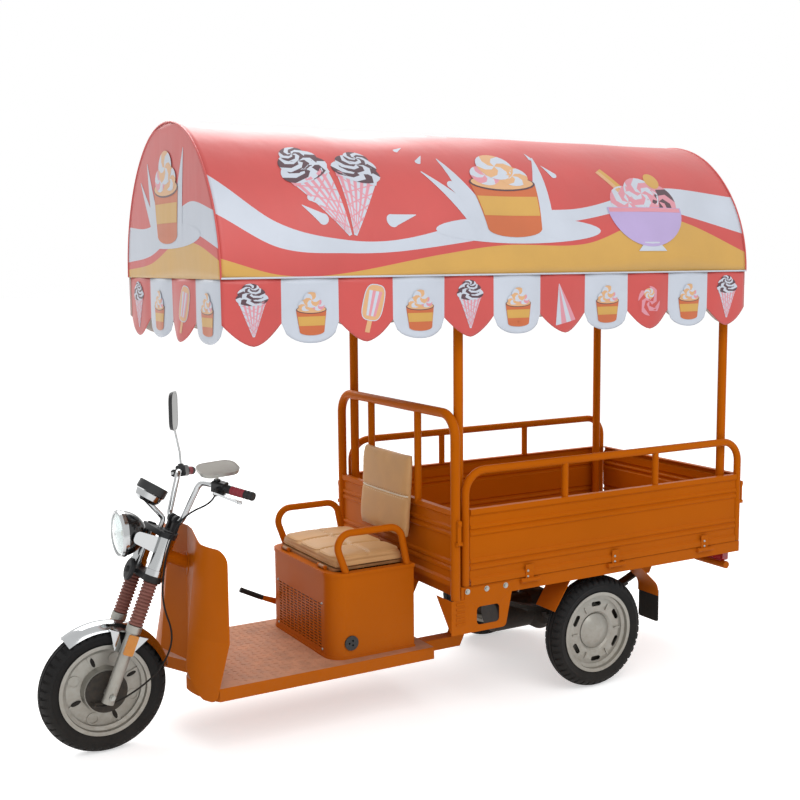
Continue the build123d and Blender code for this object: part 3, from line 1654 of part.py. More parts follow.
grip_tip = Vector(*bar_route[0])
grip_along = (grip_tip - Vector(*bar_route[1])).normalized()
grip_ahead = (Vector(1, 0, 0) - grip_along * grip_along.X).normalized()
left_grip = Plane(origin=grip_tip, x_dir=grip_ahead, z_dir=grip_along)
grip_cap = 4
pod_length = 50
pod_tube = 40
pod_start = -grip_length - 1.5
perch = (40, 6, pod_start - 14)
mirror_boss = (0, -pod_tube / 2 - 8, pod_start - 38)
grip_ribs = 7
mirror_rod = 9
mirror_socket = 16


def add_grip(bore):
    """Rubber grip on the left bar end, with raised rings and a closed cap."""
    with BuildSketch(left_grip.offset(grip_cap - grip_length)) as core:
        Circle(grip_tube / 2 - 1.5)
    extrude(to_extrude=core.sketch, amount=grip_length)
    for ring in range(grip_ribs):
        with BuildSketch(left_grip.offset(grip_cap - grip_length + 3 + ring * 17)) as band:
            Circle(grip_tube / 2)
        extrude(to_extrude=band.sketch, amount=9)
    with BuildSketch(left_grip.offset(grip_cap - grip_length)) as hole:
        Circle(bore)
    extrude(to_extrude=hole.sketch, amount=grip_length - grip_cap + fit, mode=Mode.SUBTRACT)


def add_pod():
    """Switch pod clamped beside the left grip, with the lever's perch and the mirror's boss."""
    with BuildSketch(left_grip.offset(pod_start - pod_length)) as body:
        RectangleRounded(pod_tube, pod_tube + 4, 9)
    extrude(to_extrude=body.sketch, amount=pod_length)
    with BuildSketch(left_grip.offset(perch[2] - 8)) as ear:
        with Locations((perch[0] / 2 + 4, perch[1])):
            SlotOverall(perch[0] + 14, 28)
    extrude(to_extrude=ear.sketch, amount=16)
    with BuildSketch(left_grip.offset(mirror_boss[2] - 9)) as boss:
        with Locations((0, mirror_boss[1] / 2)):
            Rectangle(18, -mirror_boss[1])
    extrude(to_extrude=boss.sketch, amount=18)
    boss_plane = Plane(
        origin=left_grip.from_local_coords(mirror_boss), x_dir=left_grip.x_dir, z_dir=left_grip.y_dir
    )
    with BuildSketch(boss_plane) as socket:
        Circle(mirror_rod / 2 + fit)
    extrude(to_extrude=socket.sketch, amount=mirror_socket + 1, mode=Mode.SUBTRACT)
    with BuildSketch(left_grip.offset(pod_start - pod_length)) as hole:
        Circle(bar_tube / 2 + 0.2)
    extrude(to_extrude=hole.sketch, amount=pod_length, mode=Mode.SUBTRACT)
    lever_plane = Plane(
        origin=left_grip.from_local_coords(perch), x_dir=left_grip.x_dir, z_dir=left_grip.y_dir
    )
    with BuildSketch(lever_plane.offset(-5)) as gap:
        Circle(26)
    extrude(to_extrude=gap.sketch, amount=10, mode=Mode.SUBTRACT)
    with BuildSketch(lever_plane.offset(-15)) as pin:
        Circle(4)
    extrude(to_extrude=pin.sketch, amount=30)


button_at = (-pod_tube / 2, 0, pod_start - 22)

with BuildPart() as left_controls:
    add_grip(bar_tube / 2 + 0.2)
    add_pod()
    with BuildSketch(
        Plane(origin=left_grip.from_local_coords(button_at), x_dir=left_grip.z_dir, z_dir=-left_grip.x_dir)
    ) as socket:
        Circle(8)
    extrude(to_extrude=socket.sketch, amount=-9, mode=Mode.SUBTRACT)

with BuildPart() as right_pod:
    add_pod()

with BuildPart() as grip_and_switches:
    add(left_controls.part)
    mirror(objects=right_pod.part, about=Plane.XZ)
save(grip_and_switches, "grip_and_switches")

with BuildPart() as horn_button:
    with BuildSketch(
        Plane(origin=left_grip.from_local_coords(button_at), x_dir=left_grip.z_dir, z_dir=-left_grip.x_dir)
    ):
        Circle(8 - seat_gap)
    extrude(amount=5)
    extrude(horn_button.faces().sort_by(Axis(tuple(grip_tip), tuple(left_grip.x_dir)))[-1], amount=5)
    fillet(horn_button.edges().sort_by(Axis(tuple(grip_tip), tuple(left_grip.x_dir)))[0], 2)
save(horn_button, "horn_button")

with BuildPart() as throttle_blank:
    add_grip(bar_tube / 2 + fit)

with BuildPart() as throttle_grip:
    mirror(objects=throttle_blank.part, about=Plane.XZ)
save(throttle_grip, "throttle_grip")

lever_plane = Plane(
    origin=left_grip.from_local_coords(perch), x_dir=left_grip.x_dir, z_dir=left_grip.y_dir
)
lever_reach = 122
lever_flare = 24

with BuildPart() as left_brake_lever:
    with BuildSketch(lever_plane.offset(-4.5)):
        Circle(12)
        with BuildLine():
            Polyline(
                (10, 4),
                (lever_flare + 8, -lever_reach),
                (lever_flare - 5, -lever_reach),
                (-9, -6),
                close=True,
            )
        make_face()
        with Locations((lever_flare + 1.5, -lever_reach)):
            Circle(9)
        Circle(4 + fit, mode=Mode.SUBTRACT)
    extrude(amount=9)
save(left_brake_lever, "left_brake_lever")

with BuildPart() as right_brake_lever:
    mirror(objects=left_brake_lever.part, about=Plane.XZ)
save(right_brake_lever, "right_brake_lever")

# Mirrors: a rod in each pod's boss, a rounded housing and its glass

mirror_width = 108
mirror_height = 146
mirror_depth = 15
mirror_glass = 3
boss_top = left_grip.from_local_coords(mirror_boss)
boss_up = -left_grip.y_dir
boss_foot = boss_top - boss_up * mirror_socket


def add_mirror(centre, facing, up, rod):
    """Mirror head on its rod: a housing with rounded edges, and the glass let into its face."""
    face = Plane(origin=centre, x_dir=up.cross(facing), z_dir=facing)
    with BuildSketch(face.offset(-mirror_depth)) as outline:
        RectangleRounded(mirror_width, mirror_height, 38)
    extrude(to_extrude=outline.sketch, amount=mirror_depth, taper=-14)
    lay_tube(rod, 26, mirror_rod)
    with BuildSketch(face.offset(-mirror_glass)) as recess:
        RectangleRounded(mirror_width - 8, mirror_height - 8, 34)
    extrude(to_extrude=recess.sketch, amount=mirror_glass + 1, mode=Mode.SUBTRACT)
    with BuildSketch(face.offset(-mirror_glass + seat_gap)) as glass:
        RectangleRounded(mirror_width - 9, mirror_height - 9, 33.5)
    extrude(to_extrude=glass.sketch, amount=mirror_glass - 2 * seat_gap)


folded_facing = Vector(0.06, 0.24, 0.97).normalized()
folded_centre = boss_top + boss_up * 46

with BuildPart() as left_mirror:
    add_mirror(
        folded_centre,
        folded_facing,
        Vector(1, 0, -0.06),
        [tuple(boss_foot), tuple(folded_centre - boss_up * (mirror_depth - 4))],
    )
save(left_mirror, "left_mirror")

raised_facing = Vector(-0.867, -0.497, 0)
raised_centre = Vector(front_axle_x - 378, boss_top.Y - 6, axle_z + 994)

with BuildPart() as raised_mirror:
    add_mirror(
        raised_centre,
        raised_facing,
        Vector(0, 0, 1),
        [
            tuple(boss_foot),
            tuple(boss_top + boss_up * 46),
            tuple(raised_centre - raised_facing * (mirror_depth - 3) - Vector(0, 0, mirror_height / 4)),
        ],
    )

with BuildPart() as right_mirror:
    mirror(objects=raised_mirror.part, about=Plane.XZ)
save(right_mirror, "right_mirror")

# Front brake cable, from the drum's arm up behind the left fork leg to the left pod

cable = 7
cable_end = left_grip.from_local_coords((0, pod_tube / 2 + 2 + seat_gap, pod_start - pod_length + 8))
cable_route = [
    (front_axle_x + ahead, left, axle_z + up)
    for ahead, left, up in (
        (arm_reach - 6 - seat_gap, 84, -arm_drop),
        (5, 84, -46),
        (-110, 86, 0),
        (-200, 92, 66),
        (-250, 100, 181),
        (-200, 112, 321),
        (-205, 131, 451),
        (-228, 137, 561),
        (-286, 142, 651),
    )
]

with BuildPart() as front_brake_cable:
    lay_tube(cable_route + [tuple(cable_end + left_grip.y_dir * 40), tuple(cable_end)], 34, cable)
save(front_brake_cable, "front_brake_cable")

# Parking brake lever and brake pedal

with BuildPart() as parking_brake_lever:
    with BuildSketch(Plane.XZ.offset(seat_width / 2 + 4)) as lever_side:
        with BuildLine():
            Polyline(
                (parking_x - 4, parking_z - 14),
                (parking_x + 8, parking_z - 12),
                (parking_x + 120, parking_z + 40),
                (parking_x + 120, parking_z + 58),
                (parking_x - 4, parking_z + 14),
                close=True,
            )
        make_face()
        with Locations((parking_x, parking_z)):
            Circle(15)
            Circle(parking_pin / 2 + fit, mode=Mode.SUBTRACT)
    extrude(amount=8)
    lay_tube(
        [
            (parking_x + 96, -seat_width / 2 - 8, parking_z + 39),
            (parking_x + 190, -seat_width / 2 - 22, parking_z + 84),
        ],
        0,
        22,
    )
save(parking_brake_lever, "parking_brake_lever")

with BuildPart() as brake_pedal:
    with BuildSketch(Plane.XZ.offset(-pedal_y - 6)) as pedal_side:
        with BuildLine():
            Polyline(
                (pedal_x - 8, pedal_z + 8),
                (pedal_x - 4, pedal_z - 9),
                (pedal_x + 62, pedal_z + 52),
                (pedal_x + 52, pedal_z + 62),
                close=True,
            )
        make_face()
        with Locations((pedal_x, pedal_z)):
            Circle(12)
            Circle(pedal_pin / 2 + fit, mode=Mode.SUBTRACT)
    extrude(amount=12)
    pad_plane = Plane(origin=(pedal_x + 58, pedal_y, pedal_z + 58), x_dir=(0, 1, 0), z_dir=(-0.6, 0, 0.8))
    with BuildSketch(pad_plane):
        RectangleRounded(62, 74, 10)
    extrude(amount=8, both=True)
save(brake_pedal, "brake_pedal")

# Canopy: posts, frame, printed cover and scalloped valance

frame_inset = canopy_skin + seat_gap
eave_rail_y = eave_y - frame_inset - eave_tube / 2
eave_rail_z = canopy_eave + eave_tube / 2
vault_drop = canopy_rise - canopy_crown_radius
side_radius = (eave_y**2 + vault_drop**2 - canopy_crown_radius**2) / (2 * (eave_y - canopy_crown_radius))
haunch = degrees(atan2(vault_drop, side_radius - eave_y))
foot_length = 60
foot_width = 44
foot_sheet = 6
post_top = eave_rail_z - cross_tube / 2 - seat_gap


def draw_vault(inset):
    """Arch of the canopy from eave to eave at a depth inside its outer face, as three tangent arcs."""
    CenterArc((eave_y - side_radius, canopy_eave), side_radius - inset, 0, haunch)
    CenterArc((0, canopy_eave + vault_drop), canopy_crown_radius - inset, haunch, 180 - 2 * haunch)
    CenterArc((side_radius - eave_y, canopy_eave), side_radius - inset, 180 - haunch, haunch)


def vault_point(inset, angle):
    """Place on the crown arc of the canopy at an angle from the left, as measures along Y and Z."""
    reach = canopy_crown_radius - inset
    return reach * cos(radians(angle)), canopy_eave + vault_drop + reach * sin(radians(angle))


with BuildPart() as canopy_posts:
    for side in sides:
        for post_x in (post_front_x, post_rear_x):
            with Locations((post_x, side * post_y, bed_height + seat_gap)):
                Cylinder(
                    post_tube / 2,
                    post_top - bed_height - seat_gap,
                    align=(Align.CENTER, Align.CENTER, Align.MIN),
                )
        add_block(
            (post_rear_x - foot_length / 2, side * post_y - foot_width / 2, bed_height + seat_gap),
            (post_rear_x + foot_length / 2, side * post_y + foot_width / 2, bed_height + foot_sheet),
        )
        add_block(
            (post_front_x - foot_length, side * post_y - foot_width / 2, bed_height + seat_gap),
            (post_front_x + post_tube / 2, side * post_y + foot_width / 2, bed_height + foot_sheet),
        )
save(canopy_posts, "canopy_posts")

arch_inset = frame_inset + arch_tube / 2
arch_first_x = canopy_rear + arch_inset
arch_step = (canopy_length - 2 * arch_inset) / (arch_count - 1)
rail_end = frame_inset + eave_tube / 2

with BuildPart() as canopy_frame:
    for side in sides:
        lay_tube(
            [
                (canopy_rear + frame_inset, side * eave_rail_y, eave_rail_z),
                (canopy_front - frame_inset, side * eave_rail_y, eave_rail_z),
            ],
            0,
            eave_tube,
        )
    for bar_x in (canopy_rear + rail_end, post_rear_x, post_front_x, canopy_front - rail_end):
        lay_tube([(bar_x, -eave_rail_y, eave_rail_z), (bar_x, eave_rail_y, eave_rail_z)], 0, cross_tube)
    for arch in range(arch_count):
        with BuildLine(Plane.YZ.offset(arch_first_x + arch * arch_step)) as arch_line:
            draw_vault(arch_inset)
        with BuildSketch(Plane(arch_line.line @ 0, z_dir=arch_line.line % 0)) as arch_section:
            Circle(arch_tube / 2)
        sweep(sections=arch_section.sketch, path=arch_line.line)
    for purlin in (haunch, 90, 180 - haunch):
        purlin_y, purlin_z = vault_point(arch_inset, purlin)
        lay_tube(
            [
                (canopy_rear + frame_inset, purlin_y, purlin_z),
                (canopy_front - frame_inset, purlin_y, purlin_z),
            ],
            0,
            arch_tube - 4,
        )
save(canopy_frame, "canopy_frame")

with BuildPart() as canopy_cover:
    with BuildSketch(Plane.YZ.offset(canopy_rear)):
        with BuildLine():
            draw_vault(0)
            Line((eave_y, canopy_eave), (-eave_y, canopy_eave))
        make_face()
    extrude(amount=canopy_length)
    with BuildSketch(Plane.YZ.offset(canopy_rear + canopy_skin)):
        with BuildLine():
            draw_vault(canopy_skin)
            Line((eave_y - canopy_skin, canopy_eave), (-eave_y + canopy_skin, canopy_eave))
        make_face()
    extrude(amount=canopy_length - 2 * canopy_skin, mode=Mode.SUBTRACT)
save(canopy_cover, "canopy_cover")

valance_top = canopy_eave - seat_gap
valance_tuck = 5


def hang_flaps(corner, along, length, flaps):
    """One edge of the valance: flaps that belly outward between their seams, cut to points and rounds."""
    width = length / flaps
    plan = Plane(origin=corner, x_dir=along, z_dir=(0, 0, 1))
    with BuildSketch(plan) as waves:
        with BuildLine():
            for face in (0, -canopy_skin):
                for flap in range(flaps):
                    ThreePointArc(
                        (flap * width, face - valance_tuck),
                        ((flap + 0.5) * width, face - valance_tuck + valance_fold),
                        ((flap + 1) * width, face - valance_tuck),
                    )
            Line((0, -valance_tuck), (0, -valance_tuck - canopy_skin))
            Line((length, -valance_tuck), (length, -valance_tuck - canopy_skin))
        make_face()
    hem_depth = valance_drop - valance_notch
    with BuildSketch(Plane(origin=corner, x_dir=along, z_dir=along.cross(Vector(0, 0, 1)))) as hem:
        with BuildLine():
            for flap in range(flaps):
                left = flap * width
                if flap % 2:
                    ThreePointArc(
                        (left, -valance_notch),
                        (left + width / 2, -valance_drop),
                        (left + width, -valance_notch),
                    )
                else:
                    FilletPolyline(
                        (left, -valance_notch),
                        (left + width * 0.24, -valance_notch - hem_depth * 0.62),
                        (left + width * 0.5, -valance_drop - hem_depth * 0.08),
                        (left + width * 0.76, -valance_notch - hem_depth * 0.62),
                        (left + width, -valance_notch),
                        radius=width * 0.12,
                    )
            Polyline((0, -valance_notch), (0, 0), (length, 0), (length, -valance_notch))
        make_face()
    with BuildPart() as strip:
        extrude(to_extrude=waves.sketch, amount=-1.2 * valance_drop)
        extrude(to_extrude=hem.sketch, amount=4 * valance_fold, both=True, mode=Mode.INTERSECT)
    return strip.part


flap_end_y = eave_y - 6
valance_edges = [
    hang_flaps(Vector(canopy_rear, eave_y, valance_top), Vector(1, 0, 0), canopy_length, side_flaps),
    hang_flaps(Vector(canopy_front, -eave_y, valance_top), Vector(-1, 0, 0), canopy_length, side_flaps),
    hang_flaps(Vector(canopy_front, flap_end_y, valance_top), Vector(0, -1, 0), 2 * flap_end_y, end_flaps),
    hang_flaps(Vector(canopy_rear, -flap_end_y, valance_top), Vector(0, 1, 0), 2 * flap_end_y, end_flaps),
]

with BuildPart() as canopy_valance:
    for valance_edge in valance_edges:
        add(valance_edge)
save(canopy_valance, "canopy_valance")
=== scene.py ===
"""Food rickshaw, dressed: paint, chrome, printed cloth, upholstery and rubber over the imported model.

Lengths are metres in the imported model's own frame: X forward, Y to the rider's left and Z up.
"""
import json
from functools import partial
from math import atan2, cos, exp, hypot, pi, radians, sin, sqrt, tau

import bmesh
import bpy
from mathutils import Matrix, Vector
from mathutils.bvhtree import BVHTree


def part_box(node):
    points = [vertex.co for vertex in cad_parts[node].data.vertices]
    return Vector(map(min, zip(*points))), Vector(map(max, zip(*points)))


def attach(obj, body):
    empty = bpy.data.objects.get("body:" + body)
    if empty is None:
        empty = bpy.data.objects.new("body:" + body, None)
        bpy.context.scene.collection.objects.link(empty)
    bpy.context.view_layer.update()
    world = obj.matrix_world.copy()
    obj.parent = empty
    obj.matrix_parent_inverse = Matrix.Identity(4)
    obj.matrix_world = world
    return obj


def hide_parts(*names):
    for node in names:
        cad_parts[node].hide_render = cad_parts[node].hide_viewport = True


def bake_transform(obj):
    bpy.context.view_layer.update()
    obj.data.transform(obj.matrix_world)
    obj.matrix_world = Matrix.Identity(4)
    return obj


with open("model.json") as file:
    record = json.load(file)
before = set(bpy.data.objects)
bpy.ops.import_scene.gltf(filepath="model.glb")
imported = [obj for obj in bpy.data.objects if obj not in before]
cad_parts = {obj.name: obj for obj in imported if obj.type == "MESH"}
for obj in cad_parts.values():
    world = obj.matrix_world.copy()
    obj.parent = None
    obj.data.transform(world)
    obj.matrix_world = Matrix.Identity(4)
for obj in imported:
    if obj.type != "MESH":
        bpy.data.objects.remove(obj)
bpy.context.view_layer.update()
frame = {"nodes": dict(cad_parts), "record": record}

bl_info = {
    "name": "Food rickshaw",
    "version": (1, 0, 0),
    "blender": (4, 5, 0),
    "location": "View3D > Sidebar > Rickshaw",
    "description": "Finishes, cloth, upholstery and fittings of an electric food rickshaw",
    "category": "Object",
}
forward, leftward, upward = Vector((1, 0, 0)), Vector((0, 1, 0)), Vector((0, 0, 1))
hands = (("left", 1), ("right", -1))


def linear(code):
    """Linear colour of an sRGB hex code."""
    shares = [int(code[i : i + 2], 16) / 255 for i in (0, 2, 4)]
    return tuple(s / 12.92 if s <= 0.04045 else ((s + 0.055) / 1.055) ** 2.4 for s in shares)


def colour_setting(name, description, code):
    return bpy.props.FloatVectorProperty(
        name=name, description=description, subtype="COLOR", size=3, min=0, max=1, default=linear(code)
    )


def number_setting(name, description, value, unit="NONE", precision=4):
    return bpy.props.FloatProperty(
        name=name, description=description, unit=unit, min=0, default=value, precision=precision
    )


length_setting = partial(number_setting, unit="LENGTH")
power_setting = partial(number_setting, unit="POWER")


class RickshawColours(bpy.types.PropertyGroup):
    """Colours of the paint, the cloth and the trim."""

    body: colour_setting("Body", "Enamel on the body, box, posts and arches", "B95D08")
    tread: colour_setting("Tread plate", "Floor paint on the footboard", "B37C5E")
    chassis: colour_setting("Chassis black", "Paint on the axle and springs", "1C1D1F")
    silver: colour_setting("Wheel silver", "Lacquer on the wheels and the fork legs", "A09F99")
    chrome: colour_setting("Chrome", "Plating on the front end", "B6B8B9")
    zinc: colour_setting("Zinc", "Plating on bolts and pins", "A8AAA6")
    vinyl: colour_setting("Vinyl", "Seat and backrest covers", "C79B69")
    red: colour_setting("Canopy red", "Ground of the printed cover", "C74642")
    white: colour_setting("Canopy white", "Wave and light flaps of the cover", "C6CDD9")
    mustard: colour_setting("Canopy mustard", "Lower band of the cover", "CE9F48")
    lining: colour_setting("Canopy lining", "Unprinted back of the cloth", "CFC7C0")
    chocolate: colour_setting("Chocolate", "Dark ink of the printed ices", "4A2A36")
    pink: colour_setting("Pink", "Light ink of the printed ices", "D9909E")
    wafer: colour_setting("Wafer", "Ink of the printed wafers", "D9A878")
    glass: colour_setting("Lilac", "Ink of the printed bowl", "B7A3D2")
    tangerine: colour_setting("Tangerine", "Ink of the printed mugs", "C4622F")
    tyre: colour_setting("Tyre", "Rubber of the tyres", "0D0E10")
    gaiter: colour_setting("Gaiter", "Rubber of the fork gaiters", "86574F")
    grip: colour_setting("Grip band", "Coloured middle of the grips", "8E2B36")
    plastic: colour_setting("Black plastic", "Mouldings", "17181A")
    dust: colour_setting("Road dust", "Dust that settles low down", "8D7A62")


class RickshawCloth(bpy.types.PropertyGroup):
    """Sizes of the sewn pieces."""

    thickness: length_setting("Cloth", "Thickness of the coated cloth", 0.0016)
    sag: length_setting("Sag", "How far the cover sinks between two arches", 0.005)
    belly: length_setting("Belly", "How far a flap bellies out between its seams", 0.012)
    hem: length_setting("Hem", "Width of the hem along the flaps' foot", 0.011)
    piping: length_setting("Piping", "Radius of the piping in the seams", 0.0035)
    stitch: length_setting("Stitch", "Length of one stitch", 0.006)
    channel: length_setting("Channel", "Depth of the sewn channels in the seat", 0.007)


class RickshawStudio(bpy.types.PropertyGroup):
    """Camera and light."""

    place: bpy.props.FloatVectorProperty(
        name="Camera",
        description="Where the camera stands",
        subtype="TRANSLATION",
        default=(2.40875, 4.2245, 1.8084),
    )
    turn: bpy.props.FloatVectorProperty(
        name="Aim",
        description="Heading, downward pitch and roll of the camera, in degrees",
        default=(-29.8406, 6.7161, -0.4825),
    )
    lens: number_setting("Lens", "Focal length", 52.867, "CAMERA", 3)
    sky: number_setting("Sky", "Level of the even light from all round", 0.62)
    floor_lift: number_setting("Floor lift", "How far the floor is lifted to white where it is seen", 0.5)
    key: power_setting("Key", "Power of the large lamp on the left", 130)
    top: power_setting("Top", "Power of the large lamp over the right side", 260)


def add_node(tree, kind, links=(), out=0, **settings):
    """An output of a new shader node. Each link pairs a socket of the node with a value or another output."""
    node = tree.nodes.new(f"ShaderNode{kind}")
    for name, value in settings.items():
        setattr(node, name, value)
    for socket, value in links:
        if isinstance(value, bpy.types.NodeSocket):
            tree.links.new(value, node.inputs[socket])
        else:
            node.inputs[socket].default_value = value
    return node.outputs[out] if node.outputs else None


def new_material(name, sockets=()):
    """A material with its tree and shader, and constants on the shader's own sockets."""
    material = bpy.data.materials.new(name)
    material.use_nodes = True
    shader = material.node_tree.nodes["Principled BSDF"]
    for socket, value in sockets:
        shader.inputs[socket].default_value = value
    return material, material.node_tree, shader


# How far gloss varies to both sides of a finish's own, and the least it falls to.
gloss_spread, least_rough = 0.07, 0.02


def make_finish(
    name,
    colour,
    roughness,
    grain,
    relief,
    mottle,
    patch,
    sockets=(),
    dust=0.0,
    dust_top=0.75,
    pattern="TexNoise",
    band=None,
):
    """A finish with its own grain, uneven colour and gloss, and road dust that thins out upwards.

    grain and patch are the widths of the grain and of the uneven patches, relief is the grain's depth.
    band is a second colour, an axis and the two places along that axis between which it shows.
    """
    material, tree, shader = new_material(name, sockets)
    place = add_node(tree, "TexCoord", out="Object")
    patches = add_node(tree, "TexNoise", [("Vector", place), ("Scale", 1 / patch), ("Detail", 4)])
    tone = add_node(tree, "MapRange", [(0, patches), (1, 0.3), (2, 0.7), (3, 1 - mottle), (4, 1 + mottle)])
    paint = (*colour, 1)
    if band:
        other, axis, start, end = band
        along = add_node(tree, "VectorMath", [(0, place), (1, axis)], "Value", operation="DOT_PRODUCT")
        past = add_node(tree, "Math", [(0, along), (1, start)], operation="GREATER_THAN")
        inside = add_node(tree, "Math", [(0, along), (1, end)], operation="LESS_THAN")
        both = add_node(tree, "Math", [(0, past), (1, inside)], operation="MULTIPLY")
        paint = add_node(tree, "Mix", [(0, both), (6, paint), (7, (*other, 1))], 2, data_type="RGBA")
    uneven = add_node(tree, "HueSaturation", [("Color", paint), ("Value", tone)])
    smooth, rough = max(roughness - gloss_spread, least_rough), roughness + gloss_spread
    gloss = add_node(tree, "MapRange", [(0, patches), (1, 0.3), (2, 0.7), (3, smooth), (4, rough)])
    if dust:
        height = add_node(tree, "SeparateXYZ", [(0, place)], 2)
        low = add_node(tree, "MapRange", [(0, height), (1, dust_top), (2, 0.0), (3, 0.0), (4, dust)])
        # Dust lies in specks about 15 mm across, thicker in some places than others.
        specks = add_node(tree, "TexNoise", [("Vector", place), ("Scale", 65), ("Detail", 6)])
        lying = add_node(tree, "Math", [(0, low), (1, specks)], operation="MULTIPLY")
        dust_colour = (*bpy.context.scene.rickshaw_colours.dust, 1)
        uneven = add_node(tree, "Mix", [(0, lying), (6, uneven), (7, dust_colour)], 2, data_type="RGBA")
        gloss = add_node(tree, "Math", [(0, gloss), (1, lying)], operation="ADD", use_clamp=True)
    texture = add_node(tree, pattern, [("Vector", place), ("Scale", 1 / grain)])
    bump = add_node(tree, "Bump", [("Height", texture), ("Distance", relief), ("Strength", 1.0)])
    for socket, value in (("Base Color", uneven), ("Roughness", gloss), ("Normal", bump)):
        tree.links.new(value, shader.inputs[socket])
    return material


def make_cloth(name, colour):
    """Polyester with a printed coat of soft PVC: even ink, a broad sheen, faint weave and slack wrinkles."""
    coat = (("IOR", 1.53), ("Sheen Weight", 0.1), ("Coat Weight", 0.3), ("Coat Roughness", 0.32))
    material, tree, shader = new_material(name, coat)
    place = add_node(tree, "TexCoord", out="Object")
    # The yarns lie 1 mm apart, drawn 4 mm apart so that the render can show them.
    yarn = 0.004
    normal = []
    for direction in ("X", "Z"):
        wave = [("Vector", place), ("Scale", tau / (20 * yarn))]
        yarns = add_node(tree, "TexWave", wave, "Fac", bands_direction=direction)
        weave = [("Height", yarns), ("Distance", 0.00012), ("Strength", 0.6), *normal]
        normal = [("Normal", add_node(tree, "Bump", weave))]
    # Wrinkles hang downwards, about 90 mm apart and three times as tall.
    stretched = add_node(tree, "Mapping", [("Vector", place), ("Scale", (11, 11, 3.5))])
    wrinkles = add_node(tree, "TexNoise", [("Vector", stretched), ("Scale", 1), ("Detail", 2)])
    slack = add_node(tree, "Bump", [("Height", wrinkles), ("Distance", 0.006), ("Strength", 0.5), *normal])
    soil = add_node(tree, "TexNoise", [("Vector", place), ("Scale", 4), ("Detail", 5)])
    tone = add_node(tree, "MapRange", [(0, soil), (1, 0.35), (2, 0.65), (3, 0.95), (4, 1.04)])
    ink = add_node(tree, "HueSaturation", [("Color", (*colour, 1)), ("Value", tone)])
    gloss = add_node(tree, "MapRange", [(0, soil), (1, 0.3), (2, 0.7), (3, 0.38), (4, 0.5)])
    for socket, value in (("Base Color", ink), ("Roughness", gloss), ("Normal", slack)):
        tree.links.new(value, shader.inputs[socket])
    return material


finishes = {}
grip_tip = Vector((0.78819, 0.32, 0.96607))


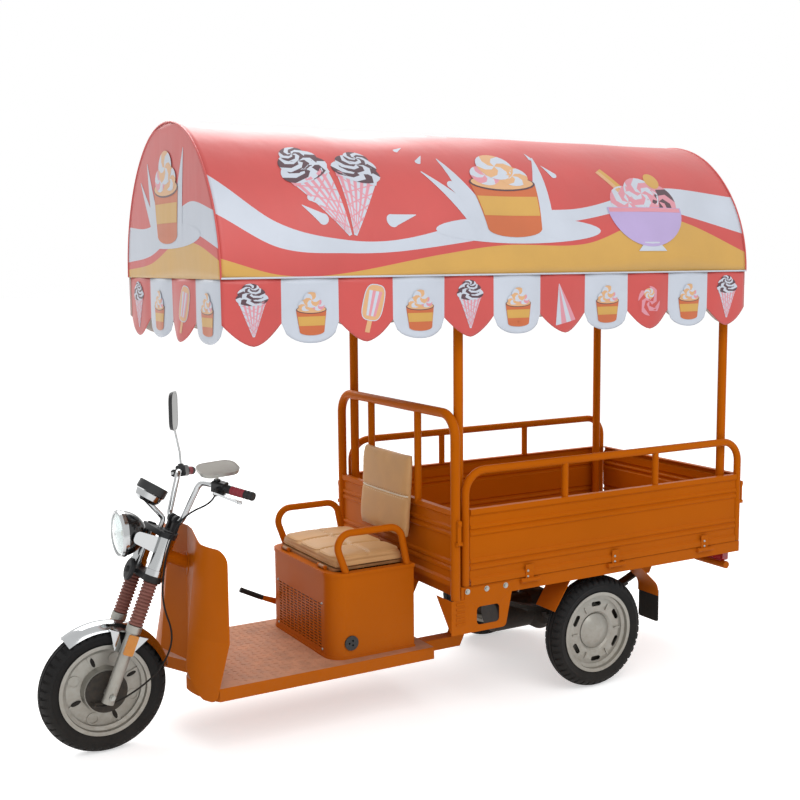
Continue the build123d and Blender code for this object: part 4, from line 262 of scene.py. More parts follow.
def mix_finishes():
    """Every finish of the rickshaw, each from what the real surface is and how it was made."""
    colours = bpy.context.scene.rickshaw_colours
    coat = [("Coat Weight", 0.3), ("Coat Roughness", 0.1)]
    dull = [("Specular IOR Level", 0.25)]
    metal = [("Metallic", 1.0)]
    flake = [("Metallic", 0.75)]
    enamel = [("Coat Weight", 0.015), ("Specular IOR Level", 0.04), ("Specular Tint", (*linear("FFB066"), 1))]
    clear = [("Transmission Weight", 1.0), ("IOR", 1.52)]
    prism = [("Transmission Weight", 0.25), ("IOR", 1.49), *coat]
    cells = "TexVoronoi"
    recipes = (
        # Stoved enamel on pressed steel: full colour, soft gloss, faint orange peel about 4 mm wide.
        ("enamel", "stoved_enamel", colours.body, 0.36, 0.004, 0.00004, 0.05, 0.4, enamel, 0.18),
        # Floor paint rolled on chequer plate: dull, scuffed and dusty all over.
        ("tread", "rolled_floor_paint", colours.tread, 0.6, 0.003, 0.00025, 0.16, 0.05, dull, 0.3),
        # Brushed chassis paint on forged and rolled steel: black under road dirt.
        ("chassis", "brushed_chassis_paint", colours.chassis, 0.5, 0.005, 0.0002, 0.2, 0.1, dull, 0.3),
        # Lacquer over die-cast and pressed wheels: a fine metal flake and brake dust.
        ("silver", "silver_lacquer", colours.silver, 0.34, 0.0022, 0.00003, 0.1, 0.09, flake, 0.55, 0.6),
        # Chromium plate on polished steel: a mirror with faint wiping marks.
        ("chrome", "chromium_plate", colours.chrome, 0.13, 0.03, 0.00002, 0.03, 0.08, metal),
        # Zinc plate on turned bolts: grey and a little cloudy.
        ("zinc", "zinc_plate", colours.zinc, 0.38, 0.004, 0.00003, 0.12, 0.03, metal, 0.3),
        # Calendered vinyl with a pressed leather grain about 2 mm wide, drawn 3 mm wide to show.
        ("vinyl", "grained_vinyl", colours.vinyl, 0.52, 0.003, 0.00035, 0.07, 0.12, dull, 0, 0, cells),
        # Spun polyester thread: the vinyl's colour lightened, as a painted highlight for the light it catches
        # where it stands proud.
        ("thread", "spun_thread", linear("E7DCC6"), 0.8, 0.0015, 0.0002, 0.1, 0.02),
        # Moulded tyre rubber: matt black, grey with dust in the tread.
        ("tyre", "tyre_rubber", colours.tyre, 0.7, 0.004, 0.00015, 0.12, 0.06, dull, 0.08, 0.5),
        # Moulded gaiter rubber: dull maroon, chalky on its ridges.
        ("gaiter", "gaiter_rubber", colours.gaiter, 0.62, 0.003, 0.0001, 0.14, 0.04, dull, 0.2, 0.9),
        # Sheet rubber for flaps and pedal pads: dull black with dusty patches.
        ("rubber", "sheet_rubber", linear("101112"), 0.7, 0.006, 0.0003, 0.12, 0.08, dull, 0.15, 0.6),
        # Spark-eroded mould texture on ABS: an even satin black.
        ("plastic", "textured_abs", colours.plastic, 0.45, 0.0016, 0.00006, 0.08, 0.05),
        # Gloss paint on the lamp bowl: wet black under a clear coat.
        ("gloss", "gloss_black_enamel", linear("0E0F11"), 0.2, 0.006, 0.00002, 0.05, 0.1, coat),
        # Clear pressed glass, the same glass silvered, and mirror glass tinted against glare.
        ("clear", "pressed_glass", linear("F2F6F4"), 0.04, 0.02, 0.0002, 0.0, 0.2, clear),
        ("mirror", "silvered_glass", linear("DDE3E6"), 0.03, 0.05, 0.00001, 0.02, 0.2, metal),
        ("tinted", "tinted_mirror_glass", linear("4A4943"), 0.05, 0.05, 0.00001, 0.02, 0.2, metal),
        # Prismatic acrylic: deep colour with small facets about 4 mm wide behind a smooth face.
        ("red_lens", "red_acrylic", linear("B0191C"), 0.14, 0.004, 0.0004, 0.08, 0.03, prism, 0, 0, cells),
        ("amber", "amber_acrylic", linear("D98A10"), 0.14, 0.004, 0.0004, 0.08, 0.03, prism, 0, 0, cells),
        # Exterior plywood under two coats of varnish: brown with a faint grain.
        ("ply", "varnished_plywood", linear("9A6B3F"), 0.5, 0.006, 0.0002, 0.2, 0.04),
        # Printed card of the dial and its inks: flat and even.
        ("dial", "printed_dial", linear("F0F0EA"), 0.5, 0.003, 0.00002, 0.02, 0.05),
        ("ink", "dial_ink", linear("1A1A1C"), 0.5, 0.003, 0.00002, 0.02, 0.05),
        ("needle", "needle_lacquer", linear("C62828"), 0.4, 0.003, 0.00002, 0.02, 0.05),
    )
    for key, *recipe in recipes:
        finishes[key] = make_finish(*recipe)
    for key in ("red", "white", "mustard", "lining", "chocolate", "pink", "wafer", "glass", "tangerine"):
        finishes[f"cloth_{key}"] = make_cloth(f"printed_pvc_cloth_{key}", getattr(colours, key))
    # The grips are moulded in two shots of rubber, with a coloured band round the middle of each.
    for hand, side in hands:
        inward = Vector((0.1040, side * -0.150, 0.0315)).normalized()
        start = Vector((grip_tip.x, side * grip_tip.y, grip_tip.z)).dot(inward)
        band = (colours.grip, inward, start + 0.034, start + 0.092)
        finishes[f"grip_{hand}"] = make_finish(
            f"two_shot_grip_rubber_{hand}", linear("161617"), 0.6, 0.004, 0.0005, 0.1, 0.03, band=band
        )


def corners(node):
    """Lowest and highest corner of a CAD node."""
    return tuple(Vector(corner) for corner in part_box(node))


def middle_of(node):
    """Middle of a CAD node's box."""
    low, high = corners(node)
    return (low + high) / 2


def put(name, data):
    """A new object in the scene."""
    item = bpy.data.objects.new(name, data)
    bpy.context.scene.collection.objects.link(item)
    return item


def flat(rows):
    """The points of all rows in one list."""
    return [point for row in rows for point in row]


def flipped(faces):
    """Faces turned to look the other way."""
    return [face[::-1] for face in faces]


def add_piece(
    name, body, points, faces, looks, face_looks=None, thickness=0.0, weld=False, sharp=38
):
    """A new mesh piece, which rides on a body if one is given. face_looks picks a look for each face."""
    mesh = bpy.data.meshes.new(name)
    mesh.from_pydata([tuple(point) for point in points], [], faces)
    for look in looks:
        mesh.materials.append(finishes[look])
    if face_looks:
        mesh.polygons.foreach_set("material_index", face_looks)
    if weld:
        shape = bmesh.new()
        shape.from_mesh(mesh)
        bmesh.ops.remove_doubles(shape, verts=shape.verts, dist=0.00002)
        bmesh.ops.dissolve_degenerate(shape, edges=shape.edges, dist=0.00001)
        shape.to_mesh(mesh)
        shape.free()
    mesh.shade_smooth()
    mesh.set_sharp_from_angle(angle=radians(sharp))
    piece = put(name, mesh)
    if thickness:
        doubled = piece.modifiers.new("Cloth thickness", "SOLIDIFY")
        doubled.thickness = thickness
        doubled.offset = -1
        doubled.material_offset = len(looks) - 1
        doubled.material_offset_rim = 0
    if body:
        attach(piece, body)
    return piece


def skin(rows, closed=False, first=0):
    """Quads between rows of the same number of points, counted on from a first point."""
    width = len(rows[0])
    steps = width if closed else width - 1
    faces = []
    for row in range(len(rows) - 1):
        low = first + row * width
        for step in range(steps):
            after = (step + 1) % width
            faces.append((low + step, low + after, low + width + after, low + width + step))
    return faces


def grow_block(points, faces, low_ring, high_ring):
    """Add a closed block between two rings of points."""
    first, width = len(points), len(low_ring)
    faces += skin([low_ring, high_ring], closed=True, first=first)
    faces.append(tuple(reversed(range(first, first + width))))
    faces.append(tuple(range(first + width, first + 2 * width)))
    points += [*low_ring, *high_ring]


def circle(side, other, count):
    """Directions evenly round a circle that two square directions span."""
    return [cos(tau * k / count) * side + sin(tau * k / count) * other for k in range(count)]


def tube_rows(path, radius, sides=8, closed=False):
    """Rings of points round a path, each square to it."""
    rings = []
    last = len(path) - 1
    side = None
    for i, point in enumerate(path):
        before = path[i - 1] if i or closed else path[0]
        after = path[(i + 1) % len(path)] if i < last or closed else path[last]
        along = (after - before).normalized()
        if side is None:
            side = along.orthogonal().normalized()
        side = (side - along * side.dot(along)).normalized()
        rings.append([point + radius * out for out in circle(side, along.cross(side), sides)])
    if closed:
        rings.append(rings[0])
    return rings


def add_tube(name, body, path, radius, look, sides=8, closed=False):
    """A round cord along a path, with its ends capped."""
    rings = tube_rows(path, radius, sides, closed)
    points = flat(rings)
    faces = skin(rings, closed=True)
    if not closed:
        faces.append(tuple(reversed(range(sides))))
        faces.append(tuple(range(len(points) - sides, len(points))))
    return add_piece(name, body, points, faces, [look], weld=closed)


def turned(profile, origin, axis, segments=24):
    """Rows of points for a profile of (along, radius) pairs turned about an axis."""
    axis = axis.normalized()
    side = axis.orthogonal().normalized()
    spokes = circle(side, axis.cross(side), segments)
    return [[origin + axis * along + radius * out for out in spokes] for along, radius in profile]


def add_turned(name, body, places, profile, look, segments=24):
    """The same turned shape at each (origin, axis), joined as one piece."""
    points, faces = [], []
    for origin, axis in places:
        rows = turned(profile, origin, axis, segments)
        faces += skin(rows, closed=True, first=len(points))
        points += flat(rows)
    return add_piece(name, body, points, faces, [look], weld=True)


# The canopy's arch: two side arcs from the eaves and a crown arc between them.
cover_low, cover_high = corners("canopy_cover")
eave_half = cover_high.y
eave_z = cover_low.z
cover_length = cover_high.x - cover_low.x
rise = cover_high.z - eave_z
crown_radius = 0.46
crown_lift = rise - crown_radius
side_radius = (eave_half**2 + crown_lift**2 - crown_radius**2) / (2 * (eave_half - crown_radius))
haunch = atan2(crown_lift, side_radius - eave_half)
side_arc = side_radius * haunch
arch_length = 2 * side_arc + crown_radius * (pi - 2 * haunch)
arch_bays = 5
arch_setback = 0.0143
# How far an end swells out, how near to the eaves the cover is held taut, the share of its sag that the
# arch's curve does not change, and how far out and up the eaves' piping lies.
end_swell, taut_edge, loose_share, piping_out, piping_up = 0.006, 0.05, 0.15, 0.001, 0.003

# Tops of the printed bands along a side, as (share of the run from the front, metres from the eave):
# mustard, red and the white wave.
side_bands = (
    (
        *((0, 0.07), (0.09, 0.012), (0.18, 0.012), (0.36, 0.08)),
        *((0.48, 0.115), (0.64, 0.12), (0.82, 0.235), (1, 0.083)),
    ),
    (
        *((0, 0.226), (0.09, 0.107), (0.2, 0.086), (0.3, 0.095)),
        *((0.5, 0.16), (0.64, 0.22), (0.8, 0.275), (1, 0.165)),
    ),
    (
        *((0, 0.381), (0.09, 0.2), (0.2, 0.133), (0.3, 0.14)),
        *((0.5, 0.25), (0.64, 0.27), (0.84, 0.38), (1, 0.34)),
    ),
)
# The same bands across an end, from the right side to the left.
end_bands = (
    ((0, 0.03), (0.3, 0.055), (0.6, 0.13), (0.8, 0.12), (1, 0.06)),
    ((0, 0.06), (0.3, 0.085), (0.6, 0.165), (0.8, 0.155), (1, 0.1)),
    ((0, 0.2), (0.25, 0.19), (0.6, 0.24), (0.8, 0.27), (1, 0.23)),
)
cover_looks = ["cloth_red", "cloth_white", "cloth_mustard", "cloth_lining"]
# Strips of faces up each band and up the ground above them, and the look of each.
band_strips = (3, 3, 4, 16)
band_looks = (2, 0, 1, 0)


def band_height(keys, share):
    """Height of a printed line at a share of its run, on a smooth curve through its keys."""
    place = next(i for i in range(len(keys) - 1) if share <= keys[i + 1][0] + 1e-9)
    (start, low), (end, high) = keys[place], keys[place + 1]
    before, after = keys[max(place - 1, 0)], keys[min(place + 2, len(keys) - 1)]
    run = end - start
    t = (share - start) / run
    leave = (high - before[1]) / (end - before[0]) * run
    arrive = (after[1] - low) / (after[0] - start) * run
    return (
        low * (2 * t**3 - 3 * t**2 + 1)
        + leave * (t**3 - 2 * t**2 + t)
        + high * (3 * t**2 - 2 * t**3)
        + arrive * (t**3 - t**2)
    )


def banded(bands, share, top):
    """Places up a run that is cut into printed bands, and the look of each strip between them."""
    heights = [0.0, *(band_height(keys, share) for keys in bands), top]
    places, looks = [0.0], []
    for low, high, count, look in zip(heights, heights[1:], band_strips, band_looks):
        places += [low + (high - low) * (k + 1) / count for k in range(count)]
        looks += [look] * count
    return places, looks


def on_vault(x, arc, lift=0.0):
    """Point on the cover at a length along its arch from the left eave, with the cloth's sag."""
    right = arc > arch_length / 2
    near = arch_length - arc if right else arc
    if near < side_arc:
        angle = near / side_radius
        centre_y, centre_z, radius = eave_half - side_radius, eave_z, side_radius
        pull = sin(pi * near / side_arc) ** 2
    else:
        angle = haunch + (near - side_arc) / crown_radius
        centre_y, centre_z, radius = 0.0, eave_z + crown_lift, crown_radius
        pull = sin(pi * (near - side_arc) / (arch_length / 2 - side_arc)) ** 2
    bay = (x - cover_low.x - arch_setback) / (cover_length - 2 * arch_setback) * arch_bays
    between = sin(pi * bay) ** 2 if 0 < bay < arch_bays else 0.0
    slack = loose_share + (1 - loose_share) * pull
    sink = bpy.context.scene.rickshaw_cloth.sag * between * slack * min(near / taut_edge, 1)
    reach = radius - sink + lift
    y = centre_y + reach * cos(angle)
    return Vector((x, -y if right else y, centre_z + reach * sin(angle)))


def vault_half_width(height):
    """Half the canopy's width at a height above its eaves."""
    if height < side_radius * sin(haunch):
        return eave_half - side_radius + sqrt(side_radius**2 - height**2)
    return sqrt(max(crown_radius**2 - (height - crown_lift) ** 2, 0.0))


def on_end(end, u, height, lift=0.0):
    """Point on an end of the cover: 1 is the front and -1 the rear, and u runs to the viewer's right."""
    half = max(vault_half_width(height), 1e-6)
    swell = end_swell * (1 - min(abs(u) / half, 1) ** 2) * sin(pi * height / rise)
    x = cover_high.x if end > 0 else cover_low.x
    return Vector((x + end * (swell + lift), end * u, eave_z + height))


class RICKSHAW_OT_canopy(bpy.types.Operator):
    """Stretch the printed cover over its arches, close its two ends and pipe the seams"""

    bl_idname = "rickshaw.canopy"
    bl_label = "Canopy cover"

    def execute(self, context):
        cloth = context.scene.rickshaw_cloth
        ribs = 120
        columns = []
        for rib in range(ribs + 1):
            left, looks = banded(side_bands, rib / ribs, arch_length / 2)
            arcs = left + [arch_length - arc for arc in left[-2::-1]]
            columns.append([on_vault(cover_high.x - cover_length * rib / ribs, arc) for arc in arcs])
        cover = self.sew("canopy_cloth", columns, looks + looks[::-1], cloth)
        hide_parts("canopy_cover")
        for x, outward, name in ((cover_high.x, 1, "front"), (cover_low.x, -1, "rear")):
            self.close_end(name, outward, cloth)
            seam = [on_vault(x, arch_length * k / 90) for k in range(91)]
            add_tube(f"canopy_{name}_piping", "frame", seam, cloth.piping, "cloth_red")
        for name, side in hands:
            runs = [cover_low.x + cover_length * k / 60 for k in range(61)]
            seam = [Vector((x, side * (eave_half + piping_out), eave_z + piping_up)) for x in runs]
            add_tube(f"canopy_{name}_eave_piping", "frame", seam, cloth.piping, "cloth_white")
        return {"FINISHED"}

    def sew(self, name, columns, looks, cloth, weld=False):
        """A sheet from its columns of points and the looks up a column."""
        faces, face_looks = flipped(skin(columns)), looks * (len(columns) - 1)
        points, thickness = flat(columns), cloth.thickness
        return add_piece(
            name, "frame", points, faces, cover_looks, face_looks, thickness, weld
        )

    def close_end(self, name, outward, cloth):
        ribs, slices = 40, 60
        columns = []
        for rib in range(ribs + 1):
            places, looks = banded(end_bands, rib / ribs, rise)
            across = 2 * rib / ribs - 1
            columns.append([on_end(outward, across * vault_half_width(place), place) for place in places])
        end = self.sew(f"canopy_{name}_end", columns, looks, cloth, weld=True)


# The valance: flaps sewn side by side and cut in turn to a point, in red, and a round, in white.
side_flaps = ("cone", "mug", "plate", "mug", "slice", "mug", "cone", "mug", "lolly", "mug", "cone")
end_flaps = ("mug", "lolly", "mug", "cone")
valance_drop = 0.225
valance_notch = 0.153
point_drop = 0.004
valance_top = eave_z - 0.0005
end_half = eave_half - 0.006
# Each edge as (its right-hand corner seen from outside, way along it, length, flaps).
edges = {
    "left": (Vector((cover_low.x, eave_half, valance_top)), forward, cover_length, side_flaps),
    "right": (Vector((cover_high.x, -eave_half, valance_top)), -forward, cover_length, side_flaps),
    "front": (Vector((cover_high.x, end_half, valance_top)), -leftward, 2 * end_half, end_flaps),
    "rear": (Vector((cover_low.x, -end_half, valance_top)), leftward, 2 * end_half, end_flaps),
}
# Each flap is set back from the eave, swings by its own place in the row and ripples at its foot.
flap_setback, flap_swing, flap_ripple = 0.006, 0.006, 0.0022


def flap_depth(motif, across):
    """How far a flap hangs at a share of its width. Those with a mug are rounds and the others points."""
    edge = abs(2 * across - 1)
    if motif == "mug":
        return valance_notch + (valance_drop - valance_notch) * sqrt(max(1 - edge**2.2, 0))
    return valance_notch + (valance_drop + point_drop - valance_notch) * (1 - edge**1.6)


def on_flap(edge, run, drop, lift=0.0):
    """Point on an edge of the valance, a run along it and a drop below the eave."""
    corner, along, length, flaps = edges[edge]
    outward = Vector((-along.y, along.x, 0))
    width = length / len(flaps)
    flap = min(int(run / width), len(flaps) - 1)
    across = run / width - flap
    hang = drop / valance_drop
    arch = 4 * across * (1 - across)
    belly = bpy.context.scene.rickshaw_cloth.belly * arch * (0.45 + 0.55 * hang)
    swing = flap_swing * sin(2.4 * flap + len(edge)) * hang**2 * arch
    ripple = flap_ripple * hang * sin(tau * (1.5 * across + 0.37 * flap))
    return corner + along * run + outward * (belly + swing + ripple + lift - flap_setback) - upward * drop


class RICKSHAW_OT_valance(bpy.types.Operator):
    """Hang the scalloped valance from the four eaves"""

    bl_idname = "rickshaw.valance"
    bl_label = "Valance"

    def execute(self, context):
        cloth = context.scene.rickshaw_cloth
        steps, strips = 14, 10
        for edge, (*_, length, flaps) in edges.items():
            width = length / len(flaps)
            columns, face_looks, area = [], [], 0.0
            for step in range(len(flaps) * steps + 1):
                flap = min(step // steps, len(flaps) - 1)
                across = step / steps - flap
                depth = flap_depth(flaps[flap], across)
                drops = [(depth - cloth.hem) * k / strips for k in range(strips + 1)] + [depth]
                columns.append([on_flap(edge, step * width / steps, drop) for drop in drops])
                if step < len(flaps) * steps:
                    face_looks += [int(flaps[flap] == "mug")] * (strips + 1)
                    area += flap_depth(flaps[flap], across + 0.5 / steps) * width / steps
            points, faces = flat(columns), flipped(skin(columns))
            name = f"valance_{edge}"
            strip = add_piece(
                name, "frame", points, faces, cover_looks, face_looks, cloth.thickness
            )
            if edge == "left":
                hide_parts("canopy_valance")
        return {"FINISHED"}


def disc(centre, reach_u, reach_v, start=0.0, turn=1.0, square=2.0, twist=0.0, rings=3, spokes=24):
    """Rows of flat points that fill an ellipse, or a slice of one. A high square gives it corners."""
    rows = []
    for ring in range(rings, -1, -1):
        share = ring / rings
        row = []
        for spoke in range(spokes + 1):
            angle = tau * (start + turn * spoke / spokes + twist * (1 - share))
            c, s = cos(angle), sin(angle)
            u = abs(c) ** (2 / square) * (1 if c > 0 else -1)
            v = abs(s) ** (2 / square) * (1 if s > 0 else -1)
            row.append((centre[0] + reach_u * u * share, centre[1] + reach_v * v * share))
        rows.append(row)
    return rows


def panel(corner_a, corner_b, half_a, half_b, rows=6, steps=6):
    """Rows of flat points that fill a tapered strip from one end to the other."""
    (ua, va), (ub, vb) = corner_a, corner_b
    long = hypot(ub - ua, vb - va)
    side = ((va - vb) / long, (ub - ua) / long)
    grid = []
    for row in range(rows + 1):
        t = row / rows
        middle = (ua + (ub - ua) * t, va + (vb - va) * t)
        half = half_a + (half_b - half_a) * t
        offsets = [half * (1 - 2 * k / steps) for k in range(steps + 1)]
        grid.append([(middle[0] + side[0] * offset, middle[1] + side[1] * offset) for offset in offsets])
    return grid


def wafer_half(height):
    """Half the width of a printed cone's wafer at a height."""
    return 0.015 + 0.3 * height


# Lines of the wafer's lattice, which cross it both ways.
wafer_lines = [
    panel((-way * wafer_half(low), low), (way * wafer_half(high), high), 0.006, 0.006, 4, 1)
    for low, high in ((0.06, 0.2), (0.16, 0.34), (0.28, 0.48), (0.4, 0.6))
    for way in (1, -1)
]
# Printed ices, one unit tall. Each part is (first ink, second ink, stripe, layer, rows): the inks take
# turns every so many steps of a row.
inks = ("chocolate", "white", "pink", "wafer", "mustard", "glass", "red", "tangerine")
motif_inks = [f"cloth_{ink}" for ink in inks]
chocolate, white, pink, wafer, mustard, lilac, red, tangerine = range(len(inks))
motifs = {
    "cone": [
        (white, white, 1, 0, panel((0, 0), (0, 0.62), wafer_half(0), wafer_half(0.62), 8, 6)),
        (pink, white, 1, 1, panel((0, 0.02), (0, 0.6), wafer_half(0) * 0.7, wafer_half(0.62) * 0.9, 8, 10)),
        *((pink, pink, 1, 2, line) for line in wafer_lines),
        (pink, white, 2, 3, panel((0, 0.58), (0, 0.65), 0.2, 0.215, 2, 12)),
        (chocolate, white, 3, 4, disc((0, 0.7), 0.25, 0.13, twist=0.3)),
        (white, chocolate, 3, 5, disc((0.01, 0.8), 0.21, 0.12, twist=0.3)),
        (chocolate, white, 3, 6, disc((0.02, 0.89), 0.13, 0.09, twist=0.3)),
    ],
    "lolly": [
        (wafer, wafer, 1, 0, panel((0, 0), (0, 0.3), 0.045, 0.045, 2, 2)),
        (white, white, 1, 1, disc((0, 0.62), 0.21, 0.38, square=3.2)),
        (wafer, wafer, 1, 2, disc((0, 0.62), 0.19, 0.36, square=3.4)),
        (pink, white, 2, 3, panel((0, 0.34), (0, 0.86), 0.09, 0.13, 6, 8)),
    ],
    "splash": [
        (white, white, 1, 1, panel((-0.3, 0.02), (-0.6, 0.84), 0.15, 0.006, 8, 2)),
        (white, white, 1, 1, panel((-0.36, 0.1), (-0.84, 0.66), 0.1, 0.006, 8, 2)),
        (white, white, 1, 1, panel((0.28, 0.02), (0.52, 0.92), 0.16, 0.006, 8, 2)),
    ],
    "mug": [
        (tangerine, tangerine, 1, 4, disc((0, 0.07), 0.3, 0.08, rings=5)),
        (tangerine, tangerine, 1, 4, panel((0, 0.06), (0, 0.55), 0.3, 0.37, 16, 16)),
        (mustard, mustard, 1, 6, panel((0, 0.2), (0, 0.4), 0.31, 0.335, 8, 16)),
        (chocolate, chocolate, 1, 7, disc((0, 0.55), 0.37, 0.09)),
        (wafer, wafer, 1, 8, disc((0, 0.555), 0.35, 0.078)),
        (white, pink, 4, 9, disc((-0.16, 0.64), 0.16, 0.12, twist=0.2)),
        (white, wafer, 4, 10, disc((0.15, 0.64), 0.17, 0.12, twist=0.2)),
        (white, wafer, 4, 11, disc((0, 0.76), 0.2, 0.17, twist=0.2)),
    ],
    "plate": [
        (pink, red, 3, 0, disc((0, 0.48), 0.34, 0.36, twist=0.4)),
        (white, wafer, 3, 1, disc((0, 0.66), 0.16, 0.13, twist=0.3)),
    ],
    "slice": [(pink, white, 2, 0, panel((-0.04, 0.04), (0.14, 0.94), 0.3, 0.008, 8, 8))],
    "pool": [(white, white, 1, 0, disc((0, 0.5), 2.6, 0.36, rings=5, spokes=40))],
    "bowl": [
        (wafer, mustard, 1, 0, panel((-0.1, 0.5), (-0.42, 1.0), 0.055, 0.055, 8, 2)),
        (white, pink, 3, 1, disc((-0.2, 0.56), 0.24, 0.22, twist=0.3)),
        (chocolate, pink, 3, 1, disc((0.24, 0.58), 0.24, 0.24, twist=0.3)),
        (pink, white, 3, 2, disc((0.03, 0.68), 0.23, 0.22, twist=0.3)),
        (mustard, mustard, 1, 3, disc((0.26, 0.86), 0.1, 0.11)),
        (white, white, 1, 3, panel((0, 0), (0, 0.1), 0.2, 0.1, 1, 2)),
        (lilac, lilac, 1, 4, disc((0, 0.5), 0.52, 0.45, start=0.5, turn=0.5)),
        (pink, lilac, 2, 5, panel((-0.5, 0.47), (0.5, 0.47), 0.025, 0.025, 12, 1)),
    ],
    "drop": [
        (white, white, 1, 0, disc((0, 0.18), 0.2, 0.18)),
        (white, white, 1, 1, panel((0, 0.2), (0.1, 1), 0.19, 0.01, 8, 2)),
    ],
}
print_lift = 0.0006
print_step = 0.00025
# Prints along a side, as (motif, metres back from the front and up from the eave, height, tilt).
side_prints = (
    ("cone", (0.5, 0.15), 0.42, 24),
    ("cone", (0.52, 0.15), 0.39, -14),
    ("pool", (1.25, 0.1), 0.15, 0),
    ("splash", (1.22, 0.15), 0.42, 0),
    ("mug", (1.22, 0.15), 0.42, 0),
    ("bowl", (1.9, 0.09), 0.38, 0),
    ("drop", (0.36, 0.3), 0.07, -120),
    ("drop", (0.42, 0.2), 0.11, 60),
    ("drop", (0.66, 0.2), 0.13, -70),
    ("drop", (0.87, 0.47), 0.06, -30),
    ("drop", (0.8, 0.54), 0.05, -50),
    ("drop", (0.97, 0.38), 0.1, -150),
    ("drop", (1.5, 0.42), 0.08, 40),
    ("drop", (1.43, 0.52), 0.05, 20),
)
# Prints on an end, from its middle and its eave.
end_prints = (("pool", (0, 0.09), 0.13), ("splash", (0, 0.13), 0.36), ("mug", (0, 0.13), 0.36))
# Height, tilt and breadth of each motif on a flap, and the height of their feet.
flap_prints = {
    "cone": (0.185, 0, 1.3),
    "mug": (0.16, 0, 1.0),
    "plate": (0.17, 0, 1.0),
    "slice": (0.17, 0, 1.0),
    "lolly": (0.175, 12, 1.2),
}
flap_print_foot = -0.196


class RICKSHAW_OT_prints(bpy.types.Operator):
    """Print ices on the sides of the cover and on the flaps of the valance"""

    bl_idname = "rickshaw.prints"
    bl_label = "Prints"

    def execute(self, context):
        for name, side in hands:

            def on_side(u, v, lift):
                return on_vault(cover_high.x - u, v if side > 0 else arch_length - v, lift)

            self.print_on(f"canopy_{name}_prints", on_side, side_prints, side < 0)
        for name, end in (("front", 1), ("rear", -1)):
            self.print_on(f"canopy_{name}_end_prints", partial(on_end, end), end_prints, False)
        for edge, (*_, length, flaps) in edges.items():

            def on_edge(u, v, lift):
                return on_flap(edge, u, -v, lift)

            width = length / len(flaps)
            prints = [
                (motif, ((flap + 0.5) * width, flap_print_foot), *flap_prints[motif])
                for flap, motif in enumerate(flaps)
            ]
            self.print_on(f"valance_{edge}_prints", on_edge, prints, True)
        return {"FINISHED"}

    def print_on(self, name, surface, prints, turn_over):
        """Printed ices as one piece, where surface places flat points on the cloth."""
        points, faces, looks = sheet = ([], [], [])
        for row in prints:
            self.stamp(sheet, surface, *row)
        if turn_over:
            faces = flipped(faces)
        add_piece(name, "frame", points, faces, motif_inks, looks, weld=True)

    def stamp(self, sheet, surface, motif, foot, height, tilt=0.0, stretch=1.0):
        """Add one printed ice to a sheet's points, faces and looks."""
        points, faces, looks = sheet
        c, s = cos(radians(tilt)), sin(radians(tilt))
        for first, second, stripe, layer, rows in motifs[motif]:
            lift = print_lift + print_step * layer
            placed = []
            for row in rows:
                leant = [(height * stretch * (u * c - v * s), height * (u * s + v * c)) for u, v in row]
                placed.append([surface(foot[0] + across, foot[1] + up, lift) for across, up in leant])
            faces += skin(placed, first=len(points))
            points += flat(placed)
            strip = [second if step // stripe % 2 else first for step in range(len(rows[0]) - 1)]
            looks += strip * (len(rows) - 1)


def evaluated(piece):
    """A fresh mesh of a piece with its modifiers done."""
    bpy.context.view_layer.update()
    graph = bpy.context.evaluated_depsgraph_get()
    return bpy.data.meshes.new_from_object(piece.evaluated_get(graph), depsgraph=graph)


def plump_pad(name, node, shrink, cap, voxel=0.006, frames=20):
    """A pad from its CAD form: remeshed evenly, swollen by cloth pressure up to a cap, then subdivided."""
    mesh = frame["nodes"][node].data.copy()
    middle = middle_of(node)
    smaller = Matrix.Diagonal((*shrink, 1))
    mesh.transform(Matrix.Translation(middle) @ smaller @ Matrix.Translation(-middle))
    mesh.materials.clear()
    pad = put(name, mesh)
    even = pad.modifiers.new("Even mesh", "REMESH")
    even.mode = "VOXEL"
    even.voxel_size = voxel
    pad.data = evaluated(pad)
    pad.modifiers.remove(even)
    rest = [vertex.co.copy() for vertex in pad.data.vertices]
    swell = pad.modifiers.new("Swell", "CLOTH")
    swell.settings.use_pressure = True
    swell.settings.uniform_pressure_force = 4
    swell.settings.effector_weights.gravity = 0
    swell.settings.quality = 4
    swell.point_cache.frame_start = 1
    swell.point_cache.frame_end = frames
    for step in range(1, frames + 1):
        bpy.context.scene.frame_set(step)
    pad.data = evaluated(pad)
    pad.modifiers.remove(swell)
    bpy.context.scene.frame_set(1)
    for vertex, start in zip(pad.data.vertices, rest):
        move = vertex.co - start
        if move.length > cap:
            vertex.co = start + move * (cap / move.length)
    finer = pad.modifiers.new("Finer", "SUBSURF")
    finer.levels = finer.render_levels = 1
    pad.data = evaluated(pad)
    pad.modifiers.remove(finer)
    pad.data.materials.append(finishes["vinyl"])
    return pad


def surface_tree(piece):
    """A piece's faces, ready for rays."""
    return BVHTree.FromPolygons(
        [vertex.co.copy() for vertex in piece.data.vertices], [tuple(p.vertices) for p in piece.data.polygons]
    )


def dropped(tree, starts, direction):
    """Where rays from each start meet a surface."""
    hits = [tree.ray_cast(start, direction)[0] for start in starts]
    return [hit for hit in hits if hit is not None]


def dip(distance, reach):
    """How deep a groove is at a distance from its line, as a share of its depth."""
    return exp(-((distance / reach) ** 2))


# How far thread stands off the vinyl, the spacing of the needle's holes in stitch lengths, and how far
# outside a pad the rays start that find its surface.
thread_lift, stitch_pitch, ray_room = 0.0006, 1.4, 0.1


